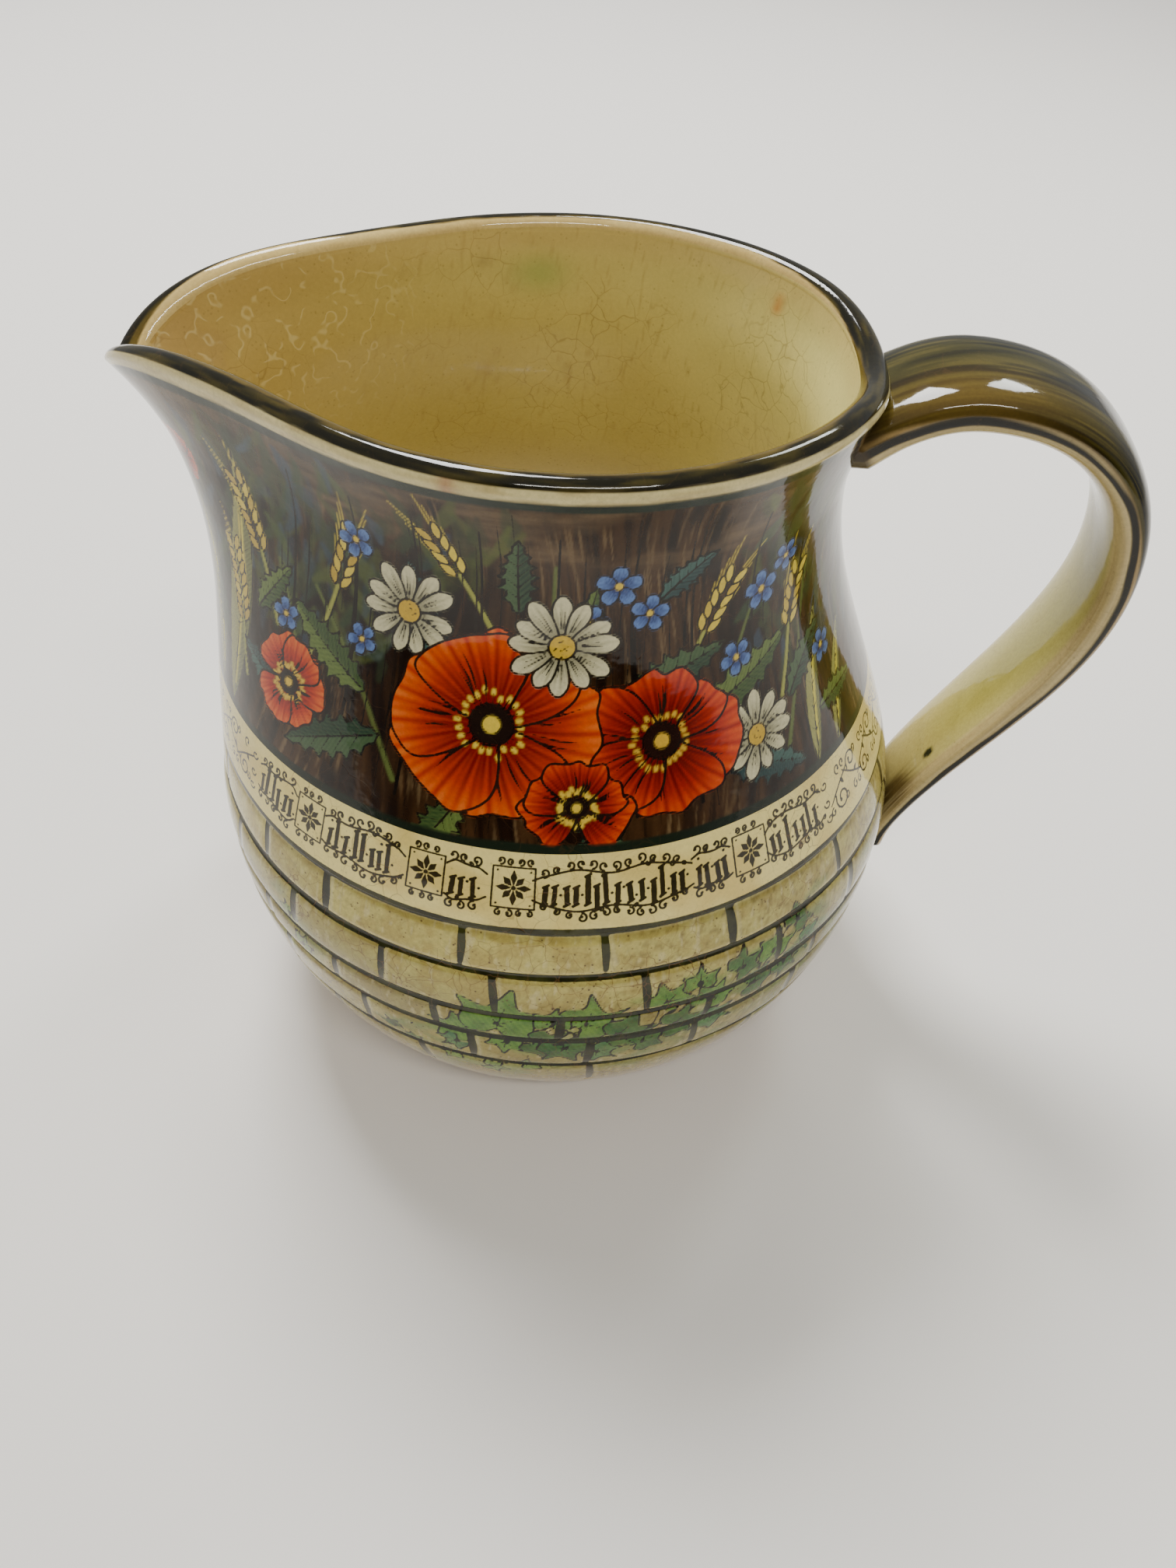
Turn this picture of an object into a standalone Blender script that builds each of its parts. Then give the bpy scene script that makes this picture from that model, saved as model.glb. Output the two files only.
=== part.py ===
"""A glazed earthenware pitcher: a pear-shaped hollow body drawn out into a spout, with a strap handle.

The body, the spout and the handle are one fired piece. +Z is up, the spout points along -X and the
handle along +X. The origin lies on the table, under the middle of the overall length.
"""

import math

import bmesh
import bpy
from mathutils import Vector

# Body: radii from its axis and heights above the table, in metres
RIM_HEIGHT = 0.1456
RIM_RADIUS = 0.0478
NECK_RADIUS = 0.0466
NECK_BELOW_RIM = 0.0188
BELLY_RADIUS = 0.0687
BELLY_HEIGHT = 0.0553
FOOT_RADIUS = 0.0473
WALL = 0.0042
LIP_THICKNESS = 0.0050
LIP_DEPTH = 0.0100
MOUTH_OVAL = 0.0011

# How the outline bends: the fullness of the belly, the ease of the shoulder and the flare under the rim
BELLY_FULLNESS = 2.4
SHOULDER_EASE = 0.872
RIM_FLARE = 1.6
STEEPEST_SLANT = 1.4

# Underside and floor
FOOT_RING_WIDTH = 0.0050
FOOT_EDGE = 0.0008
RECESS_DEPTH = 0.0020
FLOOR_THICKNESS = 0.0042
FLOOR_CORNER = 0.0130

# Moulded lines between the brick courses: the top one lies above the widest part of the belly
TOP_LINE_ABOVE_BELLY = 0.0162
COURSE_DEPTHS = (0.0090, 0.0107, 0.0075, 0.0109)
GROOVE_DEPTH = 0.00045
GROOVE_WIDTH = 0.0016

# Spout: its reach past the round rim, where its ridge starts, its half angle at the rim and low down
SPOUT_REACH = 0.0282
SPOUT_START_ABOVE_BELLY = 0.0097
SPOUT_START_SOFTNESS = 0.004
SPOUT_RIM_ANGLE = math.radians(22.6)
SPOUT_LOW_ANGLE = math.radians(57.0)
SPOUT_SHARPNESS = 1.576
SPOUT_TIP_ROUNDING = math.radians(4.0)

# The rim falls at the tip of the spout and a little at the handle
LIP_DROP = 0.0120
LIP_DROP_ANGLE = math.radians(9.3)
LIP_DROP_SHARPNESS = 1.26
HANDLE_SIDE_DROP = 0.0026
HANDLE_SIDE_DROP_ANGLE = math.radians(20.0)
RIM_DIP_GROWTH = 3

# Handle: a strap whose centre line runs from the neck over a crown and an outermost point to the belly
HANDLE_TOP_BELOW_RIM = 0.0118
HANDLE_CROWN_BELOW_RIM = 0.0044
HANDLE_CROWN_FROM_NECK = 0.0191
HANDLE_REACH_FROM_BELLY = 0.0271
HANDLE_REACH_BELOW_RIM = 0.0347
HANDLE_FOOT_BELOW_BELLY = 0.0129

# How far the strap's curves lean on their end tangents, as shares of the rise, width or fall they cover
TOP_ROOT_OUT, TOP_ROOT_UP = 0.51, 0.28
CROWN_LEAD, CROWN_TRAIL = 1.17, 0.51
REACH_LEAD, REACH_TRAIL = 0.69, 0.337
FOOT_ROOT_OUT, FOOT_ROOT_UP = 0.075, 0.355

STRAP_WIDTH_TOP = 0.0253
STRAP_WIDTH_MIDDLE = 0.0235
STRAP_WIDTH_FOOT = 0.0195
STRAP_THICKNESS_TOP = 0.0092
STRAP_THICKNESS_FOOT = 0.0051
STRAP_SOFTNESS = 0.72
STRAP_EMBED_SHARE = 0.43
ROOT_FLARE = 0.0026
ROOT_FLARE_LENGTH = 0.0080

# How finely the solids are divided
SEGMENTS = 72
SPOUT_CROWDING = 0.42
OUTER_STEPS = 17
INNER_STEPS = 10
LIP_STEPS = 6
CORNER_STEPS = 4
STRAP_STEPS_PER_CURVE = 9
STRAP_SIDES = 14
SLOPE_STEP = 0.001
SLOPE_TURN = 0.01
SHARP_EDGE_ANGLE = math.radians(35)

GLAZE_COLOUR = (0.42, 0.36, 0.20, 1.0)
GLAZE_ROUGHNESS = 0.18

HALF_LIP = LIP_THICKNESS / 2
LIP_CENTRE_HEIGHT = RIM_HEIGHT - HALF_LIP
NECK_HEIGHT = RIM_HEIGHT - NECK_BELOW_RIM
FLOOR_HEIGHT = RECESS_DEPTH + FLOOR_THICKNESS
TOP_LINE_HEIGHT = BELLY_HEIGHT + TOP_LINE_ABOVE_BELLY
SPOUT_START_HEIGHT = BELLY_HEIGHT + SPOUT_START_ABOVE_BELLY
HANDLE_TOP_HEIGHT = RIM_HEIGHT - HANDLE_TOP_BELOW_RIM
HANDLE_CROWN_HEIGHT = RIM_HEIGHT - HANDLE_CROWN_BELOW_RIM
HANDLE_CROWN_REACH = NECK_RADIUS + HANDLE_CROWN_FROM_NECK
HANDLE_REACH = BELLY_RADIUS + HANDLE_REACH_FROM_BELLY
HANDLE_REACH_HEIGHT = RIM_HEIGHT - HANDLE_REACH_BELOW_RIM
HANDLE_FOOT_HEIGHT = BELLY_HEIGHT - HANDLE_FOOT_BELOW_BELLY
STRAP_EMBED = STRAP_EMBED_SHARE * WALL


def blend(value):
    """Smooth step from 0 to 1."""
    value = min(max(value, 0.0), 1.0)
    return value * value * (3.0 - 2.0 * value)


def round_radius(height):
    """Radius of the body's outside before the spout and the grooves are taken into account."""
    if height <= BELLY_HEIGHT:
        fall = ((BELLY_HEIGHT - height) / BELLY_HEIGHT) ** BELLY_FULLNESS
        return BELLY_RADIUS - (BELLY_RADIUS - FOOT_RADIUS) * fall
    if height <= NECK_HEIGHT:
        rise = ((height - BELLY_HEIGHT) / (NECK_HEIGHT - BELLY_HEIGHT)) ** SHOULDER_EASE
        return BELLY_RADIUS - (BELLY_RADIUS - NECK_RADIUS) * blend(rise)
    flare = (height - NECK_HEIGHT) / (LIP_CENTRE_HEIGHT - NECK_HEIGHT)
    return NECK_RADIUS + (RIM_RADIUS + HALF_LIP - NECK_RADIUS) * flare**RIM_FLARE


def course_heights():
    """Heights of the moulded lines, from the top one down."""
    heights = [TOP_LINE_HEIGHT]
    for depth in COURSE_DEPTHS:
        heights.append(heights[-1] - depth)
    return heights


def groove(height):
    """Depth of the moulded line at this height, if there is one."""
    nearest = min(abs(height - line) for line in course_heights())
    return GROOVE_DEPTH * blend(1.0 - 2.0 * nearest / GROOVE_WIDTH)


def spout_share(height):
    """How far the spout has grown at this height: 0 on the belly, 1 at the lip."""
    share = (height - SPOUT_START_HEIGHT) / (LIP_CENTRE_HEIGHT - SPOUT_START_HEIGHT)
    return (share + math.sqrt(share * share + SPOUT_START_SOFTNESS)) / 2


def spout_pull(off_spout, height):
    """How far the wall is drawn out of round, at this angle from the spout's middle."""
    share = spout_share(height)
    half_angle = SPOUT_LOW_ANGLE + (SPOUT_RIM_ANGLE - SPOUT_LOW_ANGLE) * min(share, 1.0)
    rounded = math.hypot(off_spout, SPOUT_TIP_ROUNDING)
    return SPOUT_REACH * share * math.exp(-((rounded / half_angle) ** SPOUT_SHARPNESS))


def from_spout(angle):
    """Angle from the spout's middle, for an angle from +X."""
    return math.remainder(angle - math.pi, 2 * math.pi)


def outer_radius(angle, height):
    """Radius of the body's outside at this angle and height, without the grooves."""
    high = blend((height - BELLY_HEIGHT) / (RIM_HEIGHT - BELLY_HEIGHT))
    oval = MOUTH_OVAL * high * math.cos(2 * angle)
    return round_radius(height) + oval + spout_pull(from_spout(angle), height)


def inner_radius(angle, height):
    """Radius of the inside, thicker along the radius where the wall slants, so that it stays WALL thick."""
    radius = outer_radius(angle, height)
    ahead = outer_radius(angle + SLOPE_TURN, height)
    behind = outer_radius(angle - SLOPE_TURN, height)
    slant = (ahead - behind) / (2 * SLOPE_TURN * radius)
    rise = 0.0
    if height <= NECK_HEIGHT:
        rise = (round_radius(height + SLOPE_STEP) - round_radius(height - SLOPE_STEP)) / (2 * SLOPE_STEP)
    swell = blend((height - (RIM_HEIGHT - LIP_DEPTH)) / LIP_DEPTH)
    thickness = WALL + (LIP_THICKNESS - WALL) * swell
    return radius - thickness * min(math.sqrt(1 + slant * slant + rise * rise), STEEPEST_SLANT)


def rim_dip(angle, height):
    """How far this point lies under its nominal height, because the rim falls at spout and handle."""
    share = max(height - BELLY_HEIGHT, 0.0) / (RIM_HEIGHT - BELLY_HEIGHT)
    at_lip = LIP_DROP * math.exp(-((abs(from_spout(angle)) / LIP_DROP_ANGLE) ** LIP_DROP_SHARPNESS))
    off_handle = math.remainder(angle, 2 * math.pi)
    at_handle = HANDLE_SIDE_DROP * math.exp(-((off_handle / HANDLE_SIDE_DROP_ANGLE) ** 2))
    return (at_lip + at_handle) * share**RIM_DIP_GROWTH


def body_point(angle, radius, height):
    """A point of the body, around an axis through the origin."""
    dipped = height - rim_dip(angle, height)
    return Vector((radius * math.cos(angle), radius * math.sin(angle), dipped))


def outer_levels():
    """Heights of the outer rings from the lip down to the foot, three on each moulded line."""
    lines = course_heights()
    levels = []
    for line in lines:
        levels += [line + GROOVE_WIDTH / 2, line, line - GROOVE_WIDTH / 2]
    for step in range(OUTER_STEPS + 1):
        level = FOOT_EDGE + (LIP_CENTRE_HEIGHT - FOOT_EDGE) * step / OUTER_STEPS
        if min(abs(level - line) for line in lines) > GROOVE_WIDTH:
            levels.append(level)
    return sorted(levels, reverse=True)


def body_rings():
    """Functions of the angle, one for each ring, from the floor's middle up over the rim and down outside."""
    rings = [lambda angle: body_point(angle, FOOT_RADIUS / 2, FLOOR_HEIGHT)]
    for step in range(CORNER_STEPS + 1):
        lift = FLOOR_CORNER * (1 - math.cos(math.pi / 2 * step / CORNER_STEPS))
        inset = FLOOR_CORNER - math.sqrt(FLOOR_CORNER**2 - (FLOOR_CORNER - lift) ** 2)
        height = FLOOR_HEIGHT + lift
        rings.append(lambda angle, h=height, i=inset: body_point(angle, inner_radius(angle, h) - i, h))
    corner_top = FLOOR_HEIGHT + FLOOR_CORNER
    for step in range(1, INNER_STEPS + 1):
        height = corner_top + (LIP_CENTRE_HEIGHT - corner_top) * step / INNER_STEPS
        rings.append(lambda angle, h=height: body_point(angle, inner_radius(angle, h), h))
    for step in range(1, LIP_STEPS):
        rings.append(lambda angle, turn=math.pi * step / LIP_STEPS: lip_point(angle, turn))
    for level in outer_levels():
        rings.append(lambda angle, h=level: body_point(angle, outer_radius(angle, h) - groove(h), h))
    ring_inside = FOOT_RADIUS - FOOT_RING_WIDTH
    rings.append(lambda angle: body_point(angle, FOOT_RADIUS - FOOT_EDGE, 0.0))
    rings.append(lambda angle: body_point(angle, ring_inside, 0.0))
    rings.append(lambda angle: body_point(angle, ring_inside - RECESS_DEPTH, RECESS_DEPTH))
    return rings


def lip_point(angle, turn):
    """A point of the rounded lip, which turns from the inside over the top to the outside."""
    inside = inner_radius(angle, LIP_CENTRE_HEIGHT)
    outside = outer_radius(angle, LIP_CENTRE_HEIGHT)
    middle = (inside + outside) / 2
    reach = (outside - inside) / 2
    radius = middle - reach * math.cos(turn)
    return body_point(angle, radius, LIP_CENTRE_HEIGHT + HALF_LIP * math.sin(turn))


def ring_angles():
    """Angles of the vertical divisions, closer together around the spout."""
    turns = [2 * math.pi * step / SEGMENTS for step in range(SEGMENTS)]
    return [turn + SPOUT_CROWDING * math.sin(turn) for turn in turns]


def bridge(mesh, lower, upper):
    """Quads between two rings of vertices."""
    for index in range(len(lower)):
        after = (index + 1) % len(lower)
        mesh.faces.new((lower[index], lower[after], upper[after], upper[index]))


def fan(mesh, ring, middle, faces_up):
    """Triangles from a ring to its middle."""
    for index in range(len(ring)):
        after = (index + 1) % len(ring)
        corners = (ring[index], ring[after], middle) if faces_up else (ring[after], ring[index], middle)
        mesh.faces.new(corners)


def make_body(axis_x):
    """The hollow body with its spout, as one closed shell."""
    shift = Vector((axis_x, 0.0, 0.0))
    mesh = bmesh.new()
    angles = ring_angles()
    rings = [[mesh.verts.new(ring(angle) + shift) for angle in angles] for ring in body_rings()]
    for lower, upper in zip(rings, rings[1:]):
        bridge(mesh, upper, lower)
    fan(mesh, rings[0], mesh.verts.new(Vector((0.0, 0.0, FLOOR_HEIGHT)) + shift), True)
    fan(mesh, rings[-1], mesh.verts.new(Vector((0.0, 0.0, RECESS_DEPTH)) + shift), False)
    return finish_mesh("pitcher", mesh)


def finish_mesh(name, mesh):
    """Turn a bmesh into an object of the scene, with its faces pointing out."""
    bmesh.ops.recalc_face_normals(mesh, faces=mesh.faces)
    data = bpy.data.meshes.new(name)
    mesh.to_mesh(data)
    mesh.free()
    piece = bpy.data.objects.new(name, data)
    bpy.context.scene.collection.objects.link(piece)
    return piece


def bezier(start, first, second, end, share):
    """Point of a cubic curve."""
    rest = 1.0 - share
    return (
        start * rest**3
        + first * (3 * rest * rest * share)
        + second * (3 * rest * share * share)
        + end * share**3
    )


def strap_line():
    """Centre line of the handle, from the neck over the crown and down to the belly."""
    top = Vector((round_radius(HANDLE_TOP_HEIGHT), HANDLE_TOP_HEIGHT))
    crown = Vector((HANDLE_CROWN_REACH, HANDLE_CROWN_HEIGHT))
    reach = Vector((HANDLE_REACH, HANDLE_REACH_HEIGHT))
    foot = Vector((round_radius(HANDLE_FOOT_HEIGHT), HANDLE_FOOT_HEIGHT))
    rise = HANDLE_CROWN_HEIGHT - HANDLE_TOP_HEIGHT
    across = HANDLE_REACH - HANDLE_CROWN_REACH
    down = HANDLE_CROWN_HEIGHT - HANDLE_REACH_HEIGHT
    fall = HANDLE_REACH_HEIGHT - HANDLE_FOOT_HEIGHT
    top_lean = Vector((TOP_ROOT_OUT, TOP_ROOT_UP))
    foot_lean = Vector((FOOT_ROOT_OUT, FOOT_ROOT_UP))
    curves = [
        (top, top + top_lean * rise, crown - Vector((CROWN_LEAD * rise, 0.0)), crown),
        (crown, crown + Vector((CROWN_TRAIL * across, 0.0)), reach + Vector((0.0, REACH_LEAD * down)), reach),
        (reach, reach - Vector((0.0, REACH_TRAIL * fall)), foot + foot_lean * fall, foot),
    ]
    points = []
    for curve in curves:
        for step in range(STRAP_STEPS_PER_CURVE):
            points.append(bezier(*curve, step / STRAP_STEPS_PER_CURVE))
    points.append(foot)
    return points


def distances(points):
    """Distance along the line up to each of its points."""
    lengths = [0.0]
    for before, after in zip(points, points[1:]):
        lengths.append(lengths[-1] + (after - before).length)
    return lengths


def strap_size(travelled, length):
    """Width and thickness of the strap, flared where it is luted to the body."""
    share = travelled / length
    if share < 0.5:
        width = STRAP_WIDTH_TOP + (STRAP_WIDTH_MIDDLE - STRAP_WIDTH_TOP) * blend(2 * share)
    else:
        width = STRAP_WIDTH_MIDDLE + (STRAP_WIDTH_FOOT - STRAP_WIDTH_MIDDLE) * blend(2 * share - 1)
    thickness = STRAP_THICKNESS_TOP + (STRAP_THICKNESS_FOOT - STRAP_THICKNESS_TOP) * share
    to_root = min(travelled, length - travelled)
    flare = ROOT_FLARE * max(1.0 - to_root / ROOT_FLARE_LENGTH, 0.0) ** 2
    return width + flare, thickness + flare


def strap_section(side, width, thickness):
    """Offsets across and through the strap of one of its long edges: a soft rounded rectangle."""
    turn = 2 * math.pi * side / STRAP_SIDES
    across = math.copysign(abs(math.cos(turn)) ** STRAP_SOFTNESS, math.cos(turn)) * width / 2
    through = math.copysign(abs(math.sin(turn)) ** STRAP_SOFTNESS, math.sin(turn)) * thickness / 2
    return across, through


def sink(point):
    """Move a point of the strap's end along X to the depth where it sits inside the wall."""
    height = point.z
    depth = outer_radius(0.0, height) - STRAP_EMBED
    point.x = math.sqrt(depth**2 - point.y**2)
    return point


def make_strap(axis_x):
    """The handle as a closed strap whose ends lie inside the body's wall."""
    shift = Vector((axis_x, 0.0, 0.0))
    line = strap_line()
    lengths = distances(line)
    mesh = bmesh.new()
    rings = []
    for index, centre in enumerate(line):
        ahead = line[min(index + 1, len(line) - 1)] - line[max(index - 1, 0)]
        outward = Vector((-ahead.y, ahead.x)).normalized()
        width, thickness = strap_size(lengths[index], lengths[-1])
        ring = []
        for side in range(STRAP_SIDES):
            across, through = strap_section(side, width, thickness)
            edge = centre + outward * through
            point = Vector((edge.x, across, edge.y))
            if index in (0, len(line) - 1):
                point = sink(point)
            ring.append(mesh.verts.new(point + shift))
        rings.append(ring)
    for lower, upper in zip(rings, rings[1:]):
        bridge(mesh, lower, upper)
    for ring in (rings[0], rings[-1]):
        middle = sum((corner.co for corner in ring), Vector()) / STRAP_SIDES
        fan(mesh, ring, mesh.verts.new(middle), True)
    return finish_mesh("strap", mesh)


def glaze():
    """Plain glazed earthenware."""
    material = bpy.data.materials.new("glaze")
    material.use_nodes = True
    shader = material.node_tree.nodes["Principled BSDF"]
    shader.inputs["Base Color"].default_value = GLAZE_COLOUR
    shader.inputs["Roughness"].default_value = GLAZE_ROUGHNESS
    shader.inputs["Metallic"].default_value = 0.0
    return material


def overall_ends():
    """How far the spout and the handle reach from the body's axis."""
    spout = outer_radius(math.pi, LIP_CENTRE_HEIGHT)
    line = strap_line()
    lengths = distances(line)
    handle = max(
        point.x + strap_size(travelled, lengths[-1])[1] / 2 for point, travelled in zip(line, lengths)
    )
    return spout, handle


def main():
    for old in list(bpy.data.objects):
        bpy.data.objects.remove(old)
    spout, handle = overall_ends()
    axis_x = (spout - handle) / 2
    body = make_body(axis_x)
    strap = make_strap(axis_x)
    join = body.modifiers.new("handle", "BOOLEAN")
    join.operation = "UNION"
    join.solver = "EXACT"
    join.object = strap
    strap.hide_render = True
    strap.display_type = "WIRE"
    body.data.materials.append(glaze())
    body.data.shade_smooth()
    body.data.set_sharp_from_angle(angle=SHARP_EDGE_ANGLE)


main()
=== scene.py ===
"""Looks of the glazed earthenware pitcher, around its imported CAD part.

The body and the handle are rebuilt as fine grids from the same shape values as the part, and painted
by code on those grids: brick courses with ivy, a cream band of scrolls, and a brown ground with flowers.
"""

import math

import bpy
import numpy as np
from mathutils import Matrix, Vector


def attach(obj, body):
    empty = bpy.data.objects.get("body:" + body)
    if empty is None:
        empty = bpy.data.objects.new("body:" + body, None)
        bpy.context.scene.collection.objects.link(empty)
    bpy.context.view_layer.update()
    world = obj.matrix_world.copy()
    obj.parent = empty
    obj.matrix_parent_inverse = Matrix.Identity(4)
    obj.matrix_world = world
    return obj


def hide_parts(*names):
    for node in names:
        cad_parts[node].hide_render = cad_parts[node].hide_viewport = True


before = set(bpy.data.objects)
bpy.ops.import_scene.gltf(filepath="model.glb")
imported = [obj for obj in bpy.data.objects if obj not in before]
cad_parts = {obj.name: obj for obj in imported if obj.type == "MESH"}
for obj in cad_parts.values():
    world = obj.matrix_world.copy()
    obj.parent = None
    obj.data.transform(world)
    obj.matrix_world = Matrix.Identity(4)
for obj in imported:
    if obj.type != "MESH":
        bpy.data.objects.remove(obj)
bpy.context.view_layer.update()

# Shape of the body in metres, with the part's values but for a wider groove between the brick courses
AXIS_X = -0.01079
RIM_HEIGHT = 0.1456
RIM_RADIUS = 0.0478
NECK_RADIUS = 0.0466
NECK_BELOW_RIM = 0.0188
BELLY_RADIUS = 0.0687
BELLY_HEIGHT = 0.0553
FOOT_RADIUS = 0.0473
WALL = 0.0042
LIP_THICKNESS = 0.0050
LIP_DEPTH = 0.0100
MOUTH_OVAL = 0.0011
BELLY_FULLNESS = 2.4
SHOULDER_EASE = 0.872
RIM_FLARE = 1.6
STEEPEST_SLANT = 1.4
FOOT_RING_WIDTH = 0.0050
FOOT_EDGE = 0.0008
RECESS_DEPTH = 0.0020
FLOOR_THICKNESS = 0.0042
FLOOR_CORNER = 0.0130
SPOUT_REACH = 0.0282
SPOUT_START_ABOVE_BELLY = 0.0097
SPOUT_START_SOFTNESS = 0.004
SPOUT_RIM_ANGLE = math.radians(22.6)
SPOUT_LOW_ANGLE = math.radians(57.0)
SPOUT_SHARPNESS = 1.576
SPOUT_TIP_ROUNDING = math.radians(4.0)
LIP_DROP = 0.0120
LIP_DROP_ANGLE = math.radians(9.3)
LIP_DROP_SHARPNESS = 1.26
HANDLE_SIDE_DROP = 0.0026
HANDLE_SIDE_DROP_ANGLE = math.radians(20.0)
RIM_DIP_GROWTH = 3
COURSE_LINES = (0.0715, 0.0625, 0.0518, 0.0443, 0.0334)
GROOVE_DEPTH = 0.00045
GROOVE_WIDTH = 0.0018
BRICK_PILLOW = 0.00022

# Shape of the handle, its centre line's key points and sections, as in the part but with ends sunk a fixed
# depth into the wall and flaring less
HANDLE_TOP_BELOW_RIM = 0.0118
HANDLE_CROWN_BELOW_RIM = 0.0044
HANDLE_CROWN_FROM_NECK = 0.0191
HANDLE_REACH_FROM_BELLY = 0.0271
HANDLE_REACH_BELOW_RIM = 0.0347
HANDLE_FOOT_BELOW_BELLY = 0.0129
TOP_ROOT_OUT, TOP_ROOT_UP = 0.51, 0.28
CROWN_LEAD, CROWN_TRAIL = 1.17, 0.51
REACH_LEAD, REACH_TRAIL = 0.69, 0.337
FOOT_ROOT_OUT, FOOT_ROOT_UP = 0.075, 0.355
STRAP_WIDTH_TOP = 0.0253
STRAP_WIDTH_MIDDLE = 0.0235
STRAP_WIDTH_FOOT = 0.0195
STRAP_THICKNESS_TOP = 0.0092
STRAP_THICKNESS_FOOT = 0.0051
STRAP_SOFTNESS = 0.72
STRAP_EMBED = 0.0018
ROOT_FLARE = 0.0014
ROOT_FLARE_LENGTH = 0.0080

HALF_LIP = LIP_THICKNESS / 2
LIP_CENTRE_HEIGHT = RIM_HEIGHT - HALF_LIP
NECK_HEIGHT = RIM_HEIGHT - NECK_BELOW_RIM
FLOOR_HEIGHT = RECESS_DEPTH + FLOOR_THICKNESS
SPOUT_START_HEIGHT = BELLY_HEIGHT + SPOUT_START_ABOVE_BELLY

# Unevenness of the wall, and the finer relief of the bricks: how far from a groove their crown begins, the
# depth of the upright joints, and how fast the relief ends at the band, in metres
WOBBLE = 0.00007
BRICK_PILLOW_REACH = 0.0016
UPRIGHT_JOINT_DEPTH = 0.00016
RELIEF_FADE = 0.0009

# Zones of the decoration, as heights on the outside in metres, and the sides of the body as angles
BRICKS_FOOT = 0.012
BAND_FOOT = COURSE_LINES[0]
BAND_TOP = 0.0848
FRONT = -math.pi / 2
SPOUT = -math.pi

# The band's middle, the height its scrolls run along, and its radius, in mm
BAND_MIDDLE = 79.0
VINE_HEIGHT = 78.8
BAND_RADIUS = 67.3

# The neck's grid ends and the inside's begins at this turn of the lip
LIP_SEAM_TURN = 0.35

# Drawn lines: the distance that a point with no line near it is given, in mm, the softness and unevenness
# of the lines' edges, and for each kind its strength and its colours where it is thin and where it is thick
CLEAR = 3.0
LINE_EDGE = 0.07
LINE_RAGGEDNESS = 0.16
LINE_COLOURS = {
    "ink": (0.97, (34, 25, 16), (14, 9, 6)),
    "olive": (0.98, (48, 50, 18), (18, 20, 5)),
}


def blend(value):
    """Smooth step from 0 to 1."""
    value = np.clip(value, 0.0, 1.0)
    return value * value * (3.0 - 2.0 * value)


def rising(value, start, width):
    """Smooth step that is 0 up to the start and 1 from a width above it."""
    return blend((value - start) / width)


def falling(value, end, width):
    """Smooth step that is 0 from the end on and 1 up to a width below it."""
    return blend((end - value) / width)


def hump(value, width):
    """A bell curve that is 1 where the value is 0."""
    return np.exp(-((value / width) ** 2))


def oval_hump(first, first_width, second, second_width):
    """A bell curve of two values, 1 where both are 0."""
    return np.exp(-((first / first_width) ** 2) - (second / second_width) ** 2)


def wrap(angle):
    """The same angle between -pi and pi."""
    return (angle + math.pi) % (2 * math.pi) - math.pi


def degrees_off(angle, centre):
    """How far round, in degrees, angles are from a centre."""
    return np.degrees(wrap(angle - centre))


def round_radius(height):
    """Radius of the body's outside before the spout is taken into account."""
    fall = np.clip((BELLY_HEIGHT - height) / BELLY_HEIGHT, 0.0, 1.0) ** BELLY_FULLNESS
    below = BELLY_RADIUS - (BELLY_RADIUS - FOOT_RADIUS) * fall
    rise = np.clip((height - BELLY_HEIGHT) / (NECK_HEIGHT - BELLY_HEIGHT), 0.0, 1.0) ** SHOULDER_EASE
    shoulder = BELLY_RADIUS - (BELLY_RADIUS - NECK_RADIUS) * blend(rise)
    flare = np.clip((height - NECK_HEIGHT) / (LIP_CENTRE_HEIGHT - NECK_HEIGHT), 0.0, None) ** RIM_FLARE
    mouth = NECK_RADIUS + (RIM_RADIUS + HALF_LIP - NECK_RADIUS) * flare
    return np.where(height <= BELLY_HEIGHT, below, np.where(height <= NECK_HEIGHT, shoulder, mouth))


def spout_pull(angle, height):
    """How far the wall is drawn out of round at this angle and height."""
    share = (height - SPOUT_START_HEIGHT) / (LIP_CENTRE_HEIGHT - SPOUT_START_HEIGHT)
    share = (share + np.sqrt(share * share + SPOUT_START_SOFTNESS)) / 2
    half_angle = SPOUT_LOW_ANGLE + (SPOUT_RIM_ANGLE - SPOUT_LOW_ANGLE) * np.minimum(share, 1.0)
    rounded = np.hypot(wrap(angle - SPOUT), SPOUT_TIP_ROUNDING)
    return SPOUT_REACH * share * np.exp(-((rounded / half_angle) ** SPOUT_SHARPNESS))


def outer_radius(angle, height):
    """Radius of the body's outside at this angle and height."""
    oval = MOUTH_OVAL * rising(height, BELLY_HEIGHT, RIM_HEIGHT - BELLY_HEIGHT) * np.cos(2 * angle)
    return round_radius(height) + oval + spout_pull(angle, height)


def inner_radius(angle, height):
    """Radius of the inside, so that the wall stays equally thick where it slants."""
    turn, rise_step = 0.01, 0.001
    radius = outer_radius(angle, height)
    slant = (outer_radius(angle + turn, height) - outer_radius(angle - turn, height)) / (2 * turn * radius)
    rise = (round_radius(height + rise_step) - round_radius(height - rise_step)) / (2 * rise_step)
    rise = np.where(height <= NECK_HEIGHT, rise, 0.0)
    swell = rising(height, RIM_HEIGHT - LIP_DEPTH, LIP_DEPTH)
    thickness = WALL + (LIP_THICKNESS - WALL) * swell
    return radius - thickness * np.minimum(np.sqrt(1 + slant * slant + rise * rise), STEEPEST_SLANT)


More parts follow.
